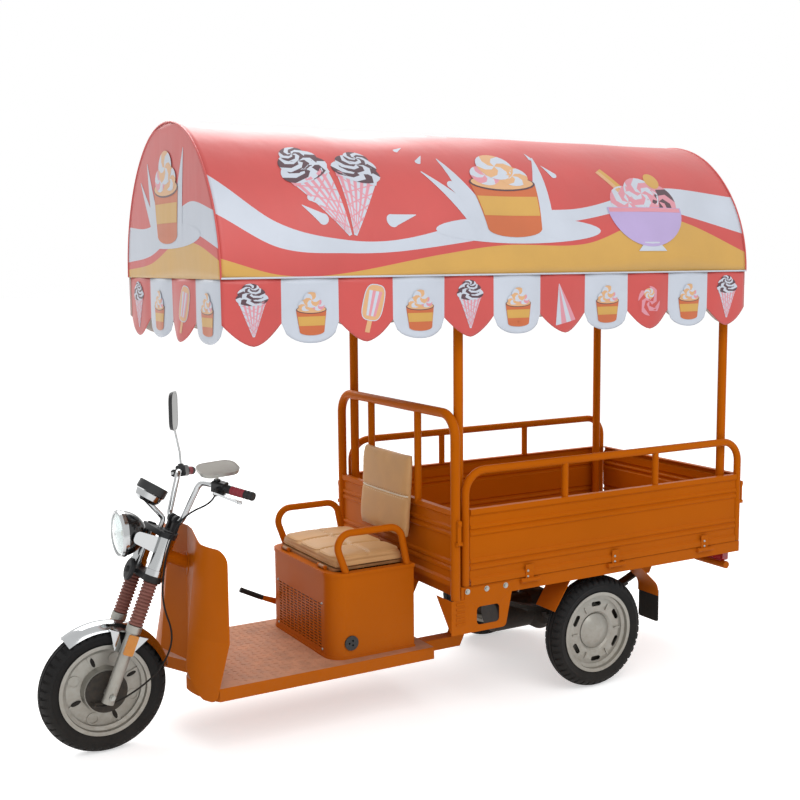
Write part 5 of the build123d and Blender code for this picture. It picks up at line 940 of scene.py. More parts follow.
def add_stitches(name, body, lines, stitch):
    """Short threads along lines of points, each a little raised in its middle."""
    points, faces = [], []
    sides = 5
    for line in lines:
        for start, end in zip(line[::2], line[1::2]):
            along = (end - start).normalized()
            side = along.orthogonal().normalized()
            middle = (start + end) / 2
            first = len(points)
            ring = [middle + out * stitch / 6 for out in circle(side, along.cross(side), sides)]
            points += [start, *ring, end]
            for k in range(sides):
                near, after = first + 1 + k, first + 1 + (k + 1) % sides
                faces += [(first, after, near), (first + sides + 1, near, after)]
    return add_piece(name, body, points, faces, ["thread"])


class RICKSHAW_OT_upholstery(bpy.types.Operator):
    """Swell the seat and the backrest, sew their channels and pipe their edges"""

    bl_idname = "rickshaw.upholstery"
    bl_label = "Upholstery"

    def execute(self, context):
        cloth = context.scene.rickshaw_cloth
        self.sew_seat(cloth)
        self.sew_backrest(cloth)
        return {"FINISHED"}

    def finish_pad(self, pad, body, node, fill):
        """Smooth a pad's shading, set it on its body, hide its CAD node and give its faces ready for rays."""
        pad.data.shade_smooth()
        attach(pad, body)
        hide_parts(node)
        return surface_tree(pad)

    def sew_seat(self, cloth):
        low, high = corners("seat_cushion")
        size = high - low
        middle = (low + high) / 2
        seat = plump_pad("seat_pad", "seat_cushion", (0.985, 0.985, 0.95), 0.008)
        seams_y = [low.y + size.y * k / 3 for k in (1, 2)]
        seam_x = low.x + size.x * 0.5
        waist = low.z + size.z * 0.36
        shoulder = low.z + size.z * 0.74
        waist_pinch, waist_reach, seam_reach = 0.004, 0.006, 0.007
        crown_share, top_start, top_run = 0.4, 0.6 * size.z, 0.2 * size.z
        for vertex in seat.data.vertices:
            co = vertex.co
            # The foam is cut flat, so the crown stands little above the shoulders.
            co.z = min(co.z, shoulder + crown_share * (co.z - shoulder))
            near = min(*(abs(co.y - y) for y in seams_y), abs(co.x - seam_x))
            top = min(max((co.z - low.z - top_start) / top_run, 0), 1)
            co.z -= top * cloth.channel * dip(near, seam_reach)
            pinch = waist_pinch * dip(co.z - waist, waist_reach) * (1 - top)
            out = Vector((co.x - middle.x, co.y - middle.y, 0))
            if out.length:
                co.x -= pinch * out.x / out.length
                co.y -= pinch * out.y / out.length
            co.z = max(co.z, low.z)
        tree = self.finish_pad(seat, "seat_lid", "seat_cushion", 0.75)
        pitch = cloth.stitch * stitch_pitch
        over = high.z + ray_room
        lines = []
        for offset in (-0.004, 0.004):
            rows = []
            for y in seams_y:
                runs = [low.x + size.x * 0.06 + pitch * k for k in range(int(size.x * 0.88 / pitch))]
                rows.append([Vector((run, y + offset, over)) for run in runs])
            runs = [low.y + size.y * 0.04 + pitch * k for k in range(int(size.y * 0.92 / pitch))]
            rows.append([Vector((seam_x + offset, run, over)) for run in runs])
            lines += [[hit + upward * thread_lift for hit in dropped(tree, row, -upward)] for row in rows]
        add_stitches("seat_stitches", "seat_lid", lines, cloth.stitch)
        for line, share in (("upper", 0.66), ("lower", 0.12)):
            centre = Vector((middle.x, middle.y, low.z + size.z * share))
            ring = []
            for out in circle(forward * size.x, leftward * size.y, 160):
                out = out.normalized()
                for hit in dropped(tree, [centre + out], -out):
                    ring.append(hit - out * cloth.piping * 0.3)
            name = f"seat_{line}_piping"
            add_tube(name, "seat_lid", ring, cloth.piping, "vinyl", closed=True)

    def sew_backrest(self, cloth):
        low, high = corners("backrest_cushion")
        size = high - low
        pad = plump_pad("backrest_pad", "backrest_cushion", (0.97, 0.985, 0.985), 0.006)
        seam_z = (low.z + high.z) / 2
        seam_reach = 0.008
        for vertex in pad.data.vertices:
            co = vertex.co
            # The pad leans back, so the line that parts its front from its back moves with height.
            front = low.x + size.x * (1 - (co.z - low.z) / size.z) * 0.45 + 0.018
            if co.x > front:
                co.x -= cloth.channel * dip(co.z - seam_z, seam_reach)
        tree = self.finish_pad(pad, "frame", "backrest_cushion", 0.6)
        pitch = cloth.stitch * stitch_pitch
        before = high.x + ray_room
        runs = [low.y + size.y * 0.03 + pitch * k for k in range(int(size.y * 0.94 / pitch))]
        lines = []
        for offset in (-0.009, 0.009):
            starts = [Vector((before, run, seam_z + offset)) for run in runs]
            lines.append([hit + forward * thread_lift for hit in dropped(tree, starts, -forward)])
        add_stitches("backrest_stitches", "frame", lines, cloth.stitch)
        # A gathered piping fills the seam between the two rows, so its line wavers a little.
        waver, count = 0.0016, 120
        starts = []
        for k in range(count + 1):
            y = low.y + size.y * (0.02 + 0.96 * k / count)
            z = seam_z + waver * sin(2.1 * k) * sin(0.37 * k)
            starts.append(Vector((before, y, z)))
        path = [hit + forward * 0.001 for hit in dropped(tree, starts, -forward)]
        add_tube("backrest_piping", "frame", path, cloth.piping, "thread")


tyre_crown, tyre_shoulder, tread_sweep = 0.239, 0.223, 0.0555
# A tyre's wall from the bead up, as (across, radius, whether the shoulder's notches cross it).
tyre_wall = [
    (0.0312, 0.1640, 0),
    (0.0334, 0.1745, 0),
    (0.0392, 0.1830, 0),
    (0.0432, 0.1930, 0),
    (0.0446, 0.2000, 0),
    (0.0462, 0.2015, 0),
    (0.0462, 0.2045, 0),
    (0.0446, 0.2060, 0),
    (0.0440, 0.2120, 0),
    (0.0420, 0.2185, 1),
    (0.0390, tyre_shoulder, 1),
]
# Its tread from the shoulder to the middle, as (across, depth of a groove, whether notches cross it).
tyre_tread = [
    *((across, 0.0, 1) for across in (0.034, 0.029, 0.024, 0.0205)),
    *((across, depth, 0) for across, depth in ((0.0192, 0), (0.0186, 0.0055), (0.0146, 0.0055), (0.014, 0))),
    *((across, depth, 0) for across, depth in ((0.008, 0), (0.0026, 0), (0.002, 0.004))),
]
# The inside of a tyre, as (across, radius).
tyre_inside = ((-0.026, 0.176), (0.0, 0.222), (0.026, 0.176))


class RICKSHAW_OT_tyres(bpy.types.Operator):
    """Mould the three tyres, with ribs, shoulder lugs and a line round each wall"""

    bl_idname = "rickshaw.tyres"
    bl_label = "Tyres"

    def execute(self, context):
        half = [*tyre_wall]
        for across, depth, crossed in tyre_tread:
            crown = tyre_crown - tread_sweep + sqrt(tread_sweep**2 - across**2)
            half.append((across, crown - depth, crossed))
        lugs, notch, rib_edge = 46, 0.0055, 0.0205
        # Places round one lug, of which the second and third lie at the bottom of a notch.
        cuts = (0.0, 0.05, 0.3, 0.35, 0.68)
        for place in ("rear_left", "rear_right", "front"):
            node = f"{place}_tyre"
            centre = middle_of(node)
            rows = []
            for lug in range(lugs):
                for cut in cuts:
                    ring = []
                    sunk = notch if cut in cuts[1:3] else 0.0
                    for side in (1, -1):
                        # The lugs of the two shoulders stand half a pitch apart.
                        turn = lug + cut + (0.5 if side < 0 else 0.0)
                        for across, radius, crossed in half[::side]:
                            skew = 0.5 * (1 - across / rib_edge) if side < 0 and across < rib_edge else 0.0
                            angle = tau * (turn - skew) / lugs
                            reach = radius - sunk * crossed
                            place_on = (reach * sin(angle), side * across, reach * cos(angle))
                            ring.append(centre + Vector(place_on))
                    angle = tau * (lug + cut) / lugs
                    for across, radius in tyre_inside:
                        ring.append(centre + Vector((radius * sin(angle), across, radius * cos(angle))))
                    rows.append(ring)
            rows.append(rows[0])
            faces = skin(rows, closed=True)
            tyre = add_piece(
                f"moulded_{node}",
                f"{place}_wheel_body",
                flat(rows),
                faces,
                ["tyre"],
                weld=True,
                sharp=50,
            )
            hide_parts(node)
        return {"FINISHED"}


class RICKSHAW_OT_tread_plate(bpy.types.Operator):
    """Raise the chequer pattern on the footboard"""

    bl_idname = "rickshaw.tread_plate"
    bl_label = "Tread plate"

    def execute(self, context):
        pedal_low, pedal_high = corners("brake_pedal")
        top, pitch, half_long, half_wide = 0.277, 0.028, 0.0125, 0.0038
        # The pattern keeps clear of the seat box, the board's long edges and the pedal.
        seat_room, edge_room, pedal_room = 0.022, 0.03, 0.03
        start_x, end_x = corners("seat_box")[1].x + seat_room, 0.862
        reach_y = corners("floorboard")[1].y - edge_room
        lozenge = ((1, 0), (0.45, 1), (-0.45, 1), (-1, 0), (-0.45, -1), (0.45, -1))
        points, faces = [], []
        for row in range(int((end_x - start_x) / pitch) + 1):
            for column in range(int(2 * reach_y / pitch) + 1):
                x, y = start_x + row * pitch, -reach_y + column * pitch
                if pedal_low.x - pedal_room < x and pedal_low.y - pedal_room < y < pedal_high.y + pedal_room:
                    continue
                angle = pi / 4 if (row + column) % 2 else -pi / 4
                along = Vector((cos(angle), sin(angle), 0)) * half_long
                side = Vector((-sin(angle), cos(angle), 0)) * half_wide
                rings = [
                    [Vector((x, y, top + height)) + (along * u + side * v) * grow for u, v in lozenge]
                    for grow, height in ((1.0, -0.0002), (0.62, 0.0014))
                ]
                grow_block(points, faces, *rings)
        add_piece("tread_lozenges", "frame", points, faces, ["tread"], sharp=20)
        return {"FINISHED"}


dial_tilt = radians(33)
dial_up = Vector((-sin(dial_tilt), 0, cos(dial_tilt)))
dial_ahead = Vector((cos(dial_tilt), 0, sin(dial_tilt)))
dial_centre = Vector((1.04925, 0, 0.986))
# The dial's scale sweeps over 270 degrees, from 225 down. Its marks end at this radius.
scale_start, scale_sweep, scale_radius = 225, 270, 0.046
mark_low, mark_top, figure_size, figure_radius = -0.0053, -0.0049, 0.0095, 0.03
needle_lift, needle_tail, needle_reach, needle_half, needle_thick = -0.0038, 0.01, 0.04, 0.0018, 0.0008
# The lamp's dish behind its domed lens, and its bulb as (along, radius) pairs.
lens_dome, dish_front, dish_depth, dish_wall, rim_room = 0.013, 0.004, 0.052, 0.0015, 0.001
lamp_bulb = [
    *((-0.05, 0.0), (-0.05, 0.011), (-0.036, 0.012), (-0.03, 0.015)),
    *((-0.022, 0.015), (-0.014, 0.009), (-0.012, 0.0)),
]
# Card, boss and glass of the dial, as (along, radius) pairs.
dial_card = [(-0.006, 0.0), (-0.006, 0.0505), (-0.0052, 0.0505), (-0.0052, 0.0)]
dial_boss = [(-0.0052, 0.006), (-0.003, 0.006), (-0.0022, 0.004), (-0.002, 0.0)]
dial_glass = [(-0.0016, 0.0), (-0.0018, 0.0515), (-0.0006, 0.0515), (0.0, 0.0)]


def dial_out(share):
    """The way from the dial's middle to a share of its scale."""
    angle = radians(scale_start - scale_sweep * share)
    return dial_ahead * sin(angle) - leftward * cos(angle)


class RICKSHAW_OT_lamps(bpy.types.Operator):
    """Fit the headlamp's reflector and bulb, and the dial, needle and glass of the speedometer"""

    bl_idname = "rickshaw.lamps"
    bl_label = "Lamps and dial"

    def execute(self, context):
        low, high = corners("headlamp_lens")
        face = middle_of("headlamp_lens")
        face.x = high.x - lens_dome
        rim, steps = (high.y - low.y) / 2 - rim_room, 12
        shares = [k / steps for k in range(steps, 0, -1)]
        dish = [(-dish_front - dish_depth * (1 - share**2), rim * share) for share in shares]
        rear = [(along - dish_wall, radius + dish_wall / 3) for along, radius in dish[::-1]]
        lamp = [(face, forward)]
        add_turned("lamp_reflector", "steering", lamp, dish + rear + dish[:1], "mirror", segments=48)
        add_turned("lamp_bulb", "steering", lamp, lamp_bulb, "dial", segments=20)
        self.fit_dial()
        return {"FINISHED"}

    def fit_dial(self):
        dial = [(dial_centre, dial_up)]
        add_turned("dial_card", "steering", dial, dial_card, "dial", segments=48)
        points, faces = [], []
        marks = 30
        for mark in range(marks + 1):
            out = dial_out(mark / marks)
            side = dial_up.cross(out)
            long, half = (0.009, 0.0009) if mark % 5 == 0 else (0.005, 0.0005)
            inner = scale_radius - long
            ends = ((inner, -1), (scale_radius, -1), (scale_radius, 1), (inner, 1))
            rings = [
                [dial_centre + dial_up * height + out * reach + side * half * way for reach, way in ends]
                for height in (mark_low, mark_top)
            ]
            grow_block(points, faces, *rings)
        add_piece("dial_marks", "steering", points, faces, ["ink"])
        figures = 6
        for figure in range(figures + 1):
            name = f"dial_figure_{figure}"
            writing = bpy.data.curves.new(name, "FONT")
            writing.body = str(10 * figure)
            writing.size = figure_size
            writing.extrude = 0.0001
            writing.align_x = writing.align_y = "CENTER"
            writing.materials.append(finishes["ink"])
            number = put(name, writing)
            place = dial_centre + dial_up * mark_top + dial_out(figure / figures) * figure_radius
            turn = Matrix((-leftward, dial_ahead, dial_up)).transposed()
            number.matrix_world = Matrix.Translation(place) @ turn.to_4x4()
            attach(number, "steering")
        out = dial_out(0)
        side = dial_up.cross(out)
        base = dial_centre + dial_up * needle_lift
        tail = base - out * needle_tail
        needle = [tail - side * needle_half, base + out * needle_reach, tail + side * needle_half]
        points, faces = [], []
        grow_block(points, faces, needle, [point + dial_up * needle_thick for point in needle])
        add_piece("dial_needle", "steering", points, faces, ["needle"])
        add_turned("dial_boss", "steering", dial, dial_boss, "plastic", segments=20)
        add_turned("dial_glass", "steering", dial, dial_glass, "clear", segments=48)


# Heads of a domed rivet, a hexagon bolt and its washer, and a black plate behind a rear wheel's slots that
# darkens them as painted shade, as (along, radius) pairs.
rivet_head = [(-0.001, 0.0055), (0.0006, 0.0055), (0.0022, 0.0044), (0.0034, 0.0024), (0.0038, 0.0)]
bolt_head = [(-0.001, 0.0075), (0.0056, 0.0075), (0.0064, 0.0066), (0.0064, 0.0)]
washer_ring = [(-0.001, 0.0115), (0.0012, 0.0115), (0.0016, 0.011), (0.0016, 0.0)]
slot_shade_plate = [(-0.001, 0.115), (0.001, 0.115), (0.001, 0.1415), (-0.001, 0.1415), (-0.001, 0.115)]
slot_shade_plate_y = 0.399
vent_corners = [(0.5, y, z) for y in (-0.207, 0.207) for z in (0.305, 0.489)]
strap_places = [(x, 0.55, z) for x in (-1.272, -0.764, -0.316) for z in (0.552, 0.575)]
skirt_places = [(x, 0.55, 0.53) for x in (-0.21, -0.12, -0.03)]
flap_places = [(-1.1, side * y, 0.365) for side in (1, -1) for y in (0.375, 0.435)]


def other_hand(places):
    """Places mirrored to the right side."""
    return [(x, -y, z) for x, y, z in places]


# Rivets and bolts as (name, body, node they sit in, way they face, places seen from that side).
rivet_rows = (
    ("vent_rivets", "frame", "vent_panel", forward, vent_corners),
    ("left_strap_rivets", "left_side", "left_side_panel", leftward, strap_places),
    ("right_strap_rivets", "right_side", "right_side_panel", -leftward, other_hand(strap_places)),
)
bolt_rows = (
    ("left_skirt_bolts", "frame", "skirts", leftward, skirt_places),
    ("right_skirt_bolts", "frame", "skirts", -leftward, other_hand(skirt_places)),
    ("flap_bolts", "frame", "mud_flaps", -forward, flap_places),
)
# The ring round the down tube: its middle, the lip and bore as (half width, half height), and its
# section as (outline, step forward of the shield's face).
neck_z = 0.669
neck_lip, neck_bevel, neck_bore = (0.04, 0.047), (0.037, 0.044), (0.0235, 0.0235)
neck_section = (
    (neck_lip, 0.0003),
    (neck_bevel, 0.003),
    (neck_bore, 0.003),
    (neck_bore, -0.0075),
    (neck_bevel, -0.0075),
    (neck_lip, -0.0045),
    (neck_lip, 0.0003),
)
# Dark rubber ovals on the front wheel's web, put in its pockets as painted shade: their number, first angle,
# radius, half sizes and section as (step across the web, share of the half sizes).
shade_oval_count, shade_oval_start, shade_oval_radius, shade_oval_long, shade_oval_wide = 4, 20, 0.112, 0.019, 0.0075
shade_oval_section = ((-0.0145, 0.0), (-0.0145, 0.8), (-0.012, 1.0), (0.012, 1.0), (0.0145, 0.8), (0.0145, 0.0))


class RICKSHAW_OT_fittings(bpy.types.Operator):
    """Seat rivets and bolts, put dark ovals on the front wheel's web and black plates behind the rear wheels'
    slots, both as painted shade, and close the shield's neck
    """

    bl_idname = "rickshaw.fittings"
    bl_label = "Fittings"

    def execute(self, context):
        for name, body, node, facing, places in rivet_rows:
            add_turned(name, body, self.seats(node, facing, places), rivet_head, "zinc", 16)
        for name, body, node, facing, places in bolt_rows:
            seats = self.seats(node, facing, places)
            add_turned(f"{name}_washers", body, seats, washer_ring, "zinc", 20)
            add_turned(name, body, seats, bolt_head, "zinc", 6)
        self.fit_wheels()
        self.fit_neck_plate()
        return {"FINISHED"}

    def seats(self, node, facing, places):
        """Where rays against the way that the heads face meet the node."""
        tree = surface_tree(frame["nodes"][node])
        hits = dropped(tree, [Vector(place) for place in places], -facing)
        if len(hits) < len(places):
            raise RuntimeError(f"a fitting misses {node}")
        return [(hit, facing) for hit in hits]

    def fit_wheels(self):
        # A black plate behind each rear wheel's slots, as painted shade, so that the slots read dark.
        for hand, side in hands:
            hub = middle_of(f"rear_{hand}_wheel")
            hub.y = side * slot_shade_plate_y
            name, body = f"rear_{hand}_slot_shade_plate", f"rear_{hand}_wheel_body"
            add_turned(name, body, [(hub, leftward)], slot_shade_plate, "chassis", segments=64)
        hub = middle_of("front_wheel")
        points, faces = [], []
        # Dark ovals as painted shade in the web's pockets, long way along the wheel's radius, domed on both
        # faces of the web.
        for shade_oval in range(shade_oval_count):
            angle = radians(shade_oval_start + 360 / shade_oval_count * shade_oval)
            out = Vector((-cos(angle), 0, sin(angle)))
            across = Vector((sin(angle), 0, cos(angle)))
            oval = circle(out * shade_oval_long, across * shade_oval_wide, 24)
            middle = hub + out * shade_oval_radius
            rows = [
                [middle + spoke * share + leftward * step for spoke in oval] for step, share in shade_oval_section
            ]
            faces += skin(rows, closed=True, first=len(points))
            points += flat(rows)
        body, slot = "front_wheel_body", "black_rubber"
        add_piece("front_wheel_shade_ovals", body, points, faces, ["rubber"], weld=True)

    def fit_neck_plate(self):
        """A painted ring that closes the leg shield's hole round the down tube, with a lip on both faces."""
        sides = 48
        turns = [(sin(tau * k / sides), cos(tau * k / sides)) for k in range(sides)]
        starts = [(1.0, neck_lip[0] * across, neck_z + neck_lip[1] * up) for across, up in turns]
        depths = [hit.x for hit, _ in self.seats("leg_shield", forward, starts)]
        rows = [
            [
                Vector((depth + step, half[0] * across, neck_z + half[1] * up))
                for depth, (across, up) in zip(depths, turns)
            ]
            for half, step in neck_section
        ]
        faces = skin(rows, closed=True)
        add_piece("neck_plate", "frame", flat(rows), faces, ["enamel"], weld=True)


def paint_node(node, look, *areas):
    """Give a CAD node its finish, and other finishes to the faces that a test of middle and normal picks."""
    mesh = frame["nodes"][node].data
    mesh.materials.clear()
    mesh.materials.append(finishes[look])
    for index, (other, test) in enumerate(areas, 1):
        mesh.materials.append(finishes[other])
        for polygon in mesh.polygons:
            if test(polygon.center, polygon.normal):
                polygon.material_index = index


plain_finishes = {
    "enamel": (
        "chassis_frame leg_shield seat_box vent_panel armrests cargo_bed headboard left_side_panel "
        "right_side_panel left_side_rail right_side_rail tailgate front_left_latch front_right_latch "
        "rear_left_latch rear_right_latch skirts mudguards canopy_posts canopy_frame"
    ),
    "plastic": "charge_socket batteries_and_controller horn_button",
    "ply": "seat_base",
    "chassis": "leaf_springs rear_axle fork_yokes horn",
    "rubber": "mud_flaps front_brake_cable",
    "red_lens": "tail_lamps",
    "amber": "reflectors",
    "silver": "rear_left_wheel rear_right_wheel fork_sliders",
    "zinc": "brake_pedal",
    "chrome": "front_fender fork_covers handlebar left_brake_lever right_brake_lever",
    "gaiter": "fork_gaiters",
    "clear": "headlamp_lens",
    "vinyl": "seat_cushion backrest_cushion",
    "cloth_red": "canopy_cover canopy_valance",
    "tyre": "rear_left_tyre rear_right_tyre front_tyre",
    "grip_right": "throttle_grip",
}
# Where a second finish starts: above the footboard's sheet, behind the lamp's lens, below the dial, round the
# left grip, up the right mirror, along the parking brake, inside the front wheel's hub recess on its left
# face, which is painted black as painted shade, and out from the front hub.
floor_top, bezel_depth, ring_depth, grip_start, grip_length = 0.2755, 0.0155, 0.029, 0.205, 0.125
mirror_head_z, lever_grip_x, shaded_recess_radius, nut_radius = 1.155, 0.52, 0.0705, 0.018


class RICKSHAW_OT_paint(bpy.types.Operator):
    """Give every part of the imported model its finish"""

    bl_idname = "rickshaw.paint"
    bl_label = "Paint and plating"

    def execute(self, context):
        mix_finishes()
        for look, nodes in plain_finishes.items():
            for node in nodes.split():
                paint_node(node, look)
        bezel_x = corners("headlamp_lens")[0].x - bezel_depth
        hub = middle_of("front_wheel")

        def on_tread(middle, normal):
            return normal.z > 0.9 and middle.z > floor_top

        def on_ring(middle, normal):
            return (middle - dial_centre).dot(dial_up) > -ring_depth

        def on_grip(middle, normal):
            return middle.y > grip_start and (middle - grip_tip).length < grip_length

        def facing_back(middle, normal):
            return normal.x < -0.8

        def on_head(middle, normal):
            return middle.z > mirror_head_z

        def from_hub(middle):
            return hypot(middle.x - hub.x, middle.z - hub.z)

        # Painted shade: the hub recess on the front wheel's left face is painted black, where it lies in
        # shadow.
        def on_shaded_recess(middle, normal):
            return middle.y > 0 and from_hub(middle) < shaded_recess_radius

        paint_node("floorboard", "enamel", ("tread", on_tread))
        paint_node("headlamp_shell", "gloss", ("chrome", lambda middle, normal: middle.x > bezel_x))
        paint_node("speedometer", "chrome", ("plastic", on_ring))
        paint_node("grip_and_switches", "plastic", ("grip_left", on_grip))
        paint_node("left_mirror", "silver", ("tinted", facing_back))
        glass = ("tinted", lambda middle, normal: on_head(middle, normal) and facing_back(middle, normal))
        paint_node("right_mirror", "chrome", ("plastic", on_head), glass)
        paint_node(
            "parking_brake_lever", "enamel", ("rubber", lambda middle, normal: middle.x > lever_grip_x)
        )
        # The front wheel's silver, with painted shade in black over its hub recess.
        paint_node("front_wheel", "silver", ("chassis", on_shaded_recess))
        paint_node("front_axle", "zinc", ("chassis", lambda middle, normal: from_hub(middle) > nut_radius))
        return {"FINISHED"}


class RICKSHAW_OT_springs(bpy.types.Operator):
    """Copy the fork's gaiters, and cut the leaf springs into front and rear halves at their middle, in place
    of their CAD nodes
    """

    bl_idname = "rickshaw.springs"
    bl_label = "Gaiters and leaf springs"

    def execute(self, context):
        joints = {joint["name"]: joint for joint in frame["record"]["behaviour"]["joints"]}
        axis = Vector(joints["fork_travel"]["axis"])
        axis *= 1 if axis.z > 0 else -1
        gaiters = self.copy_of("fork_gaiters", "gaiter_rubber", "gaiter", "maroon_rubber")
        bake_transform(gaiters)
        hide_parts("fork_gaiters")
        # Each spring is held by an eye at both ends and clamped to the axle over its middle.
        low, high = corners("leaf_springs")
        middle = (low + high) / 2
        for place, side, end in (("front", 1, high), ("rear", -1, low)):
            name = f"leaf_spring_{place}_halves"
            half = self.copy_of("leaf_springs", name, "chassis", "black_paint", middle, side)
            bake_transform(half)
            if side > 0:
                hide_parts("leaf_springs")
        return {"FINISHED"}

    def copy_of(self, node, name, look, slot, cut=None, side=0):
        """A new piece with a CAD node's shape, or with what lies on one side of a cut across it."""
        shape = bmesh.new()
        shape.from_mesh(frame["nodes"][node].data)
        if cut is not None:
            whole = [*shape.verts, *shape.edges, *shape.faces]
            bmesh.ops.bisect_plane(shape, geom=whole, plane_co=cut, plane_no=(side, 0, 0), clear_inner=True)
        shape.verts.index_update()
        points = [vertex.co.copy() for vertex in shape.verts]
        faces = [[vertex.index for vertex in face.verts] for face in shape.faces]
        shape.free()
        return add_piece(name, None, points, faces, [look], weld=True)


# The brake cable's route: from the hub's arm, up behind the left fork leg, to the left lever's pod.
cable_radius = 0.0035
cable_route = [
    (1.32495, 0.084, 0.205),
    (1.27825, 0.084, 0.193),
    (1.16325, 0.086, 0.239),
    (1.07325, 0.092, 0.305),
    (1.02325, 0.100, 0.420),
    (1.07325, 0.112, 0.560),
    (1.06825, 0.131, 0.690),
    (1.04525, 0.137, 0.800),
    (0.98725, 0.142, 0.890),
    (0.87886, 0.17641, 0.93257),
    (0.87886, 0.18463, 0.97171),
]


class RICKSHAW_OT_cable(bpy.types.Operator):
    """Lead the front brake cable from the hub up to its lever"""

    bl_idname = "rickshaw.cable"
    bl_label = "Brake cable"

    def execute(self, context):
        line = bpy.data.curves.new("brake_cable_line", "CURVE")
        line.dimensions = "3D"
        spline = line.splines.new("NURBS")
        spline.points.add(len(cable_route) - 1)
        for point, place in zip(spline.points, cable_route):
            point.co = (*place, 1)
        spline.order_u = 3
        spline.use_endpoint_u = True
        guide = bpy.data.objects.new("brake_cable_line", line)
        path = [vertex.co.copy() for vertex in bpy.data.meshes.new_from_object(guide).vertices]
        bpy.data.objects.remove(guide)
        cable = add_tube("brake_cable", None, path, cable_radius, "rubber", 12)
        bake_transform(cable)
        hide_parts("front_brake_cable")
        return {"FINISHED"}


key_place, top_place, lamp_size = (0.6, 4.4, 4.9), (-0.3, -3.6, 4.9), (5.0, 4.0)
floor_white, floor_reach = (0.93, 0.93, 0.93, 1), 60.0


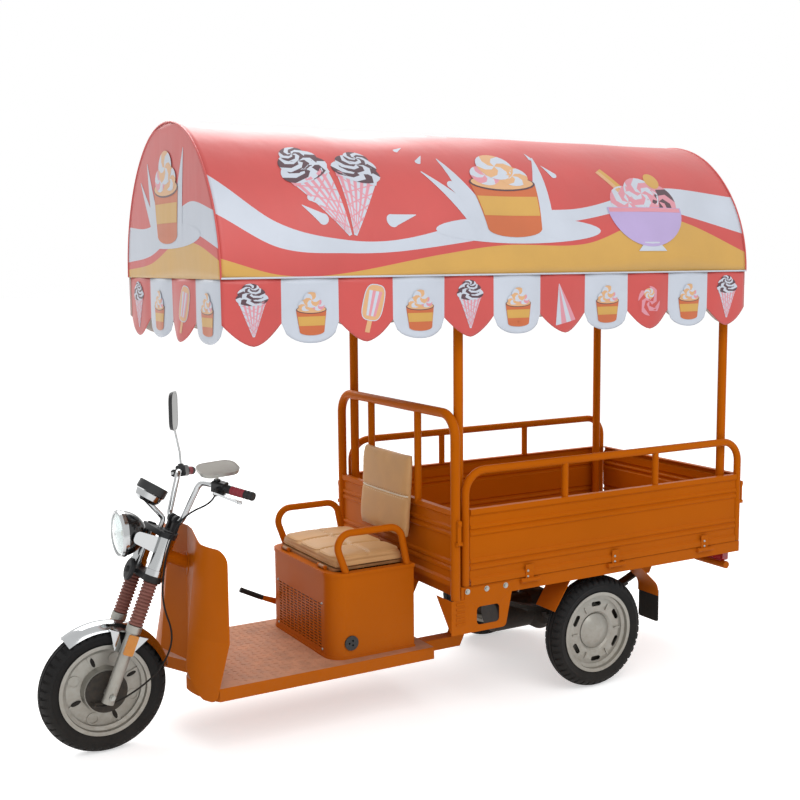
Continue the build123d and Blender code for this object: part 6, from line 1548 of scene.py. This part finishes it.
class RICKSHAW_OT_studio(bpy.types.Operator):
    """Stand the rickshaw on a white floor under soft light, seen by the camera"""

    bl_idname = "rickshaw.studio"
    bl_label = "Studio"

    def execute(self, context):
        scene = context.scene
        studio = scene.rickshaw_studio
        scene.view_settings.view_transform = "Standard"
        self.light_sky(scene, studio.sky)
        self.lay_floor(studio.floor_lift)
        self.hang_lamp("key_lamp", key_place, studio.key)
        self.hang_lamp("top_lamp", top_place, studio.top)
        self.set_camera(scene, studio)
        return {"FINISHED"}

    def hang_lamp(self, name, place, power):
        """A large soft lamp that looks at the middle of the rickshaw."""
        lamp = bpy.data.lights.new(name, "AREA")
        lamp.shape = "RECTANGLE"
        lamp.size, lamp.size_y = lamp_size
        lamp.energy = power
        hung = put(name, lamp)
        hung.location = place
        hung.rotation_euler = (upward - hung.location).to_track_quat("-Z", "Y").to_euler()

    def seen_rays(self, tree, level):
        """An output at a level for rays that show a picture, straight, mirrored or through glass."""
        seen = add_node(tree, "LightPath", out="Is Camera Ray")
        for kind in ("Is Glossy Ray", "Is Transmission Ray"):
            other = add_node(tree, "LightPath", out=kind)
            seen = add_node(tree, "Math", [(0, seen), (1, other)], operation="MAXIMUM")
        return add_node(tree, "Math", [(0, seen), (1, level)], operation="MULTIPLY")

    def light_sky(self, scene, level):
        """Even light from all round. The camera sees a white studio, also in metal and through glass."""
        world = scene.world or bpy.data.worlds.new("studio")
        scene.world = world
        world.use_nodes = True
        tree = world.node_tree
        tree.nodes.clear()
        seen = self.seen_rays(tree, 1.0)
        light = add_node(tree, "Background", [("Color", (1, 1, 1, 1)), ("Strength", level)])
        white = add_node(tree, "Background", [("Color", (1, 1, 1, 1)), ("Strength", 1.0)])
        shown = add_node(tree, "MixShader", [(0, seen), (1, light), (2, white)])
        add_node(tree, "OutputWorld", [("Surface", shown)])

    def lay_floor(self, level):
        """A matt white floor, wide enough that its edge is never near the rickshaw."""
        paint = (
            ("Base Color", floor_white),
            ("Roughness", 0.9),
            ("Specular IOR Level", 0.1),
            ("Emission Color", (1, 1, 1, 1)),
        )
        material, tree, shader = new_material("matt_white_floor", paint)
        tree.links.new(self.seen_rays(tree, level), shader.inputs["Emission Strength"])
        mesh = bpy.data.meshes.new("studio_floor")
        square = [(x * floor_reach, y * floor_reach, 0) for x, y in ((-1, -1), (1, -1), (1, 1), (-1, 1))]
        mesh.from_pydata(square, [], [(0, 1, 2, 3)])
        mesh.materials.append(material)
        put("studio_floor", mesh)

    def set_camera(self, scene, studio):
        heading, pitch, roll = (radians(angle) for angle in studio.turn)
        look = Vector((sin(heading) * cos(pitch), -cos(heading) * cos(pitch), -sin(pitch)))
        across = look.cross(upward).normalized()
        above = across.cross(look)
        right = cos(roll) * across + sin(roll) * above
        top = cos(roll) * above - sin(roll) * across
        data = bpy.data.cameras.new("photo_camera")
        data.lens = studio.lens
        data.sensor_width = 36
        camera = put("photo_camera", data)
        turn = Matrix((right, top, -look)).transposed()
        camera.matrix_world = Matrix.Translation(studio.place) @ turn.to_4x4()
        scene.camera = camera


steps = (
    RICKSHAW_OT_paint,
    RICKSHAW_OT_studio,
    RICKSHAW_OT_cable,
    RICKSHAW_OT_springs,
    RICKSHAW_OT_canopy,
    RICKSHAW_OT_valance,
    RICKSHAW_OT_prints,
    RICKSHAW_OT_upholstery,
    RICKSHAW_OT_tyres,
    RICKSHAW_OT_tread_plate,
    RICKSHAW_OT_lamps,
    RICKSHAW_OT_fittings,
)


class RICKSHAW_PT_sidebar(bpy.types.Panel):
    """Sizes, colours and steps of the rickshaw"""

    bl_label = "Food rickshaw"
    bl_idname = "RICKSHAW_PT_sidebar"
    bl_space_type = "VIEW_3D"
    bl_region_type = "UI"
    bl_category = "Rickshaw"

    def draw(self, context):
        scene = context.scene
        for group in (scene.rickshaw_colours, scene.rickshaw_cloth, scene.rickshaw_studio):
            box = self.layout.box()
            for name in group.__annotations__:
                box.prop(group, name)
        for step in steps:
            self.layout.operator(step.bl_idname)


groups = {
    "rickshaw_colours": RickshawColours,
    "rickshaw_cloth": RickshawCloth,
    "rickshaw_studio": RickshawStudio,
}


def register():
    for kind in (*groups.values(), *steps, RICKSHAW_PT_sidebar):
        bpy.utils.register_class(kind)
    for name, group in groups.items():
        setattr(bpy.types.Scene, name, bpy.props.PointerProperty(type=group))


def unregister():
    for name in groups:
        delattr(bpy.types.Scene, name)
    for kind in (RICKSHAW_PT_sidebar, *reversed(steps), *groups.values()):
        bpy.utils.unregister_class(kind)


def main():
    register()
    for step in steps:
        group, name = step.bl_idname.split(".")
        getattr(getattr(bpy.ops, group), name)()


if __name__ == "__main__":
    main()
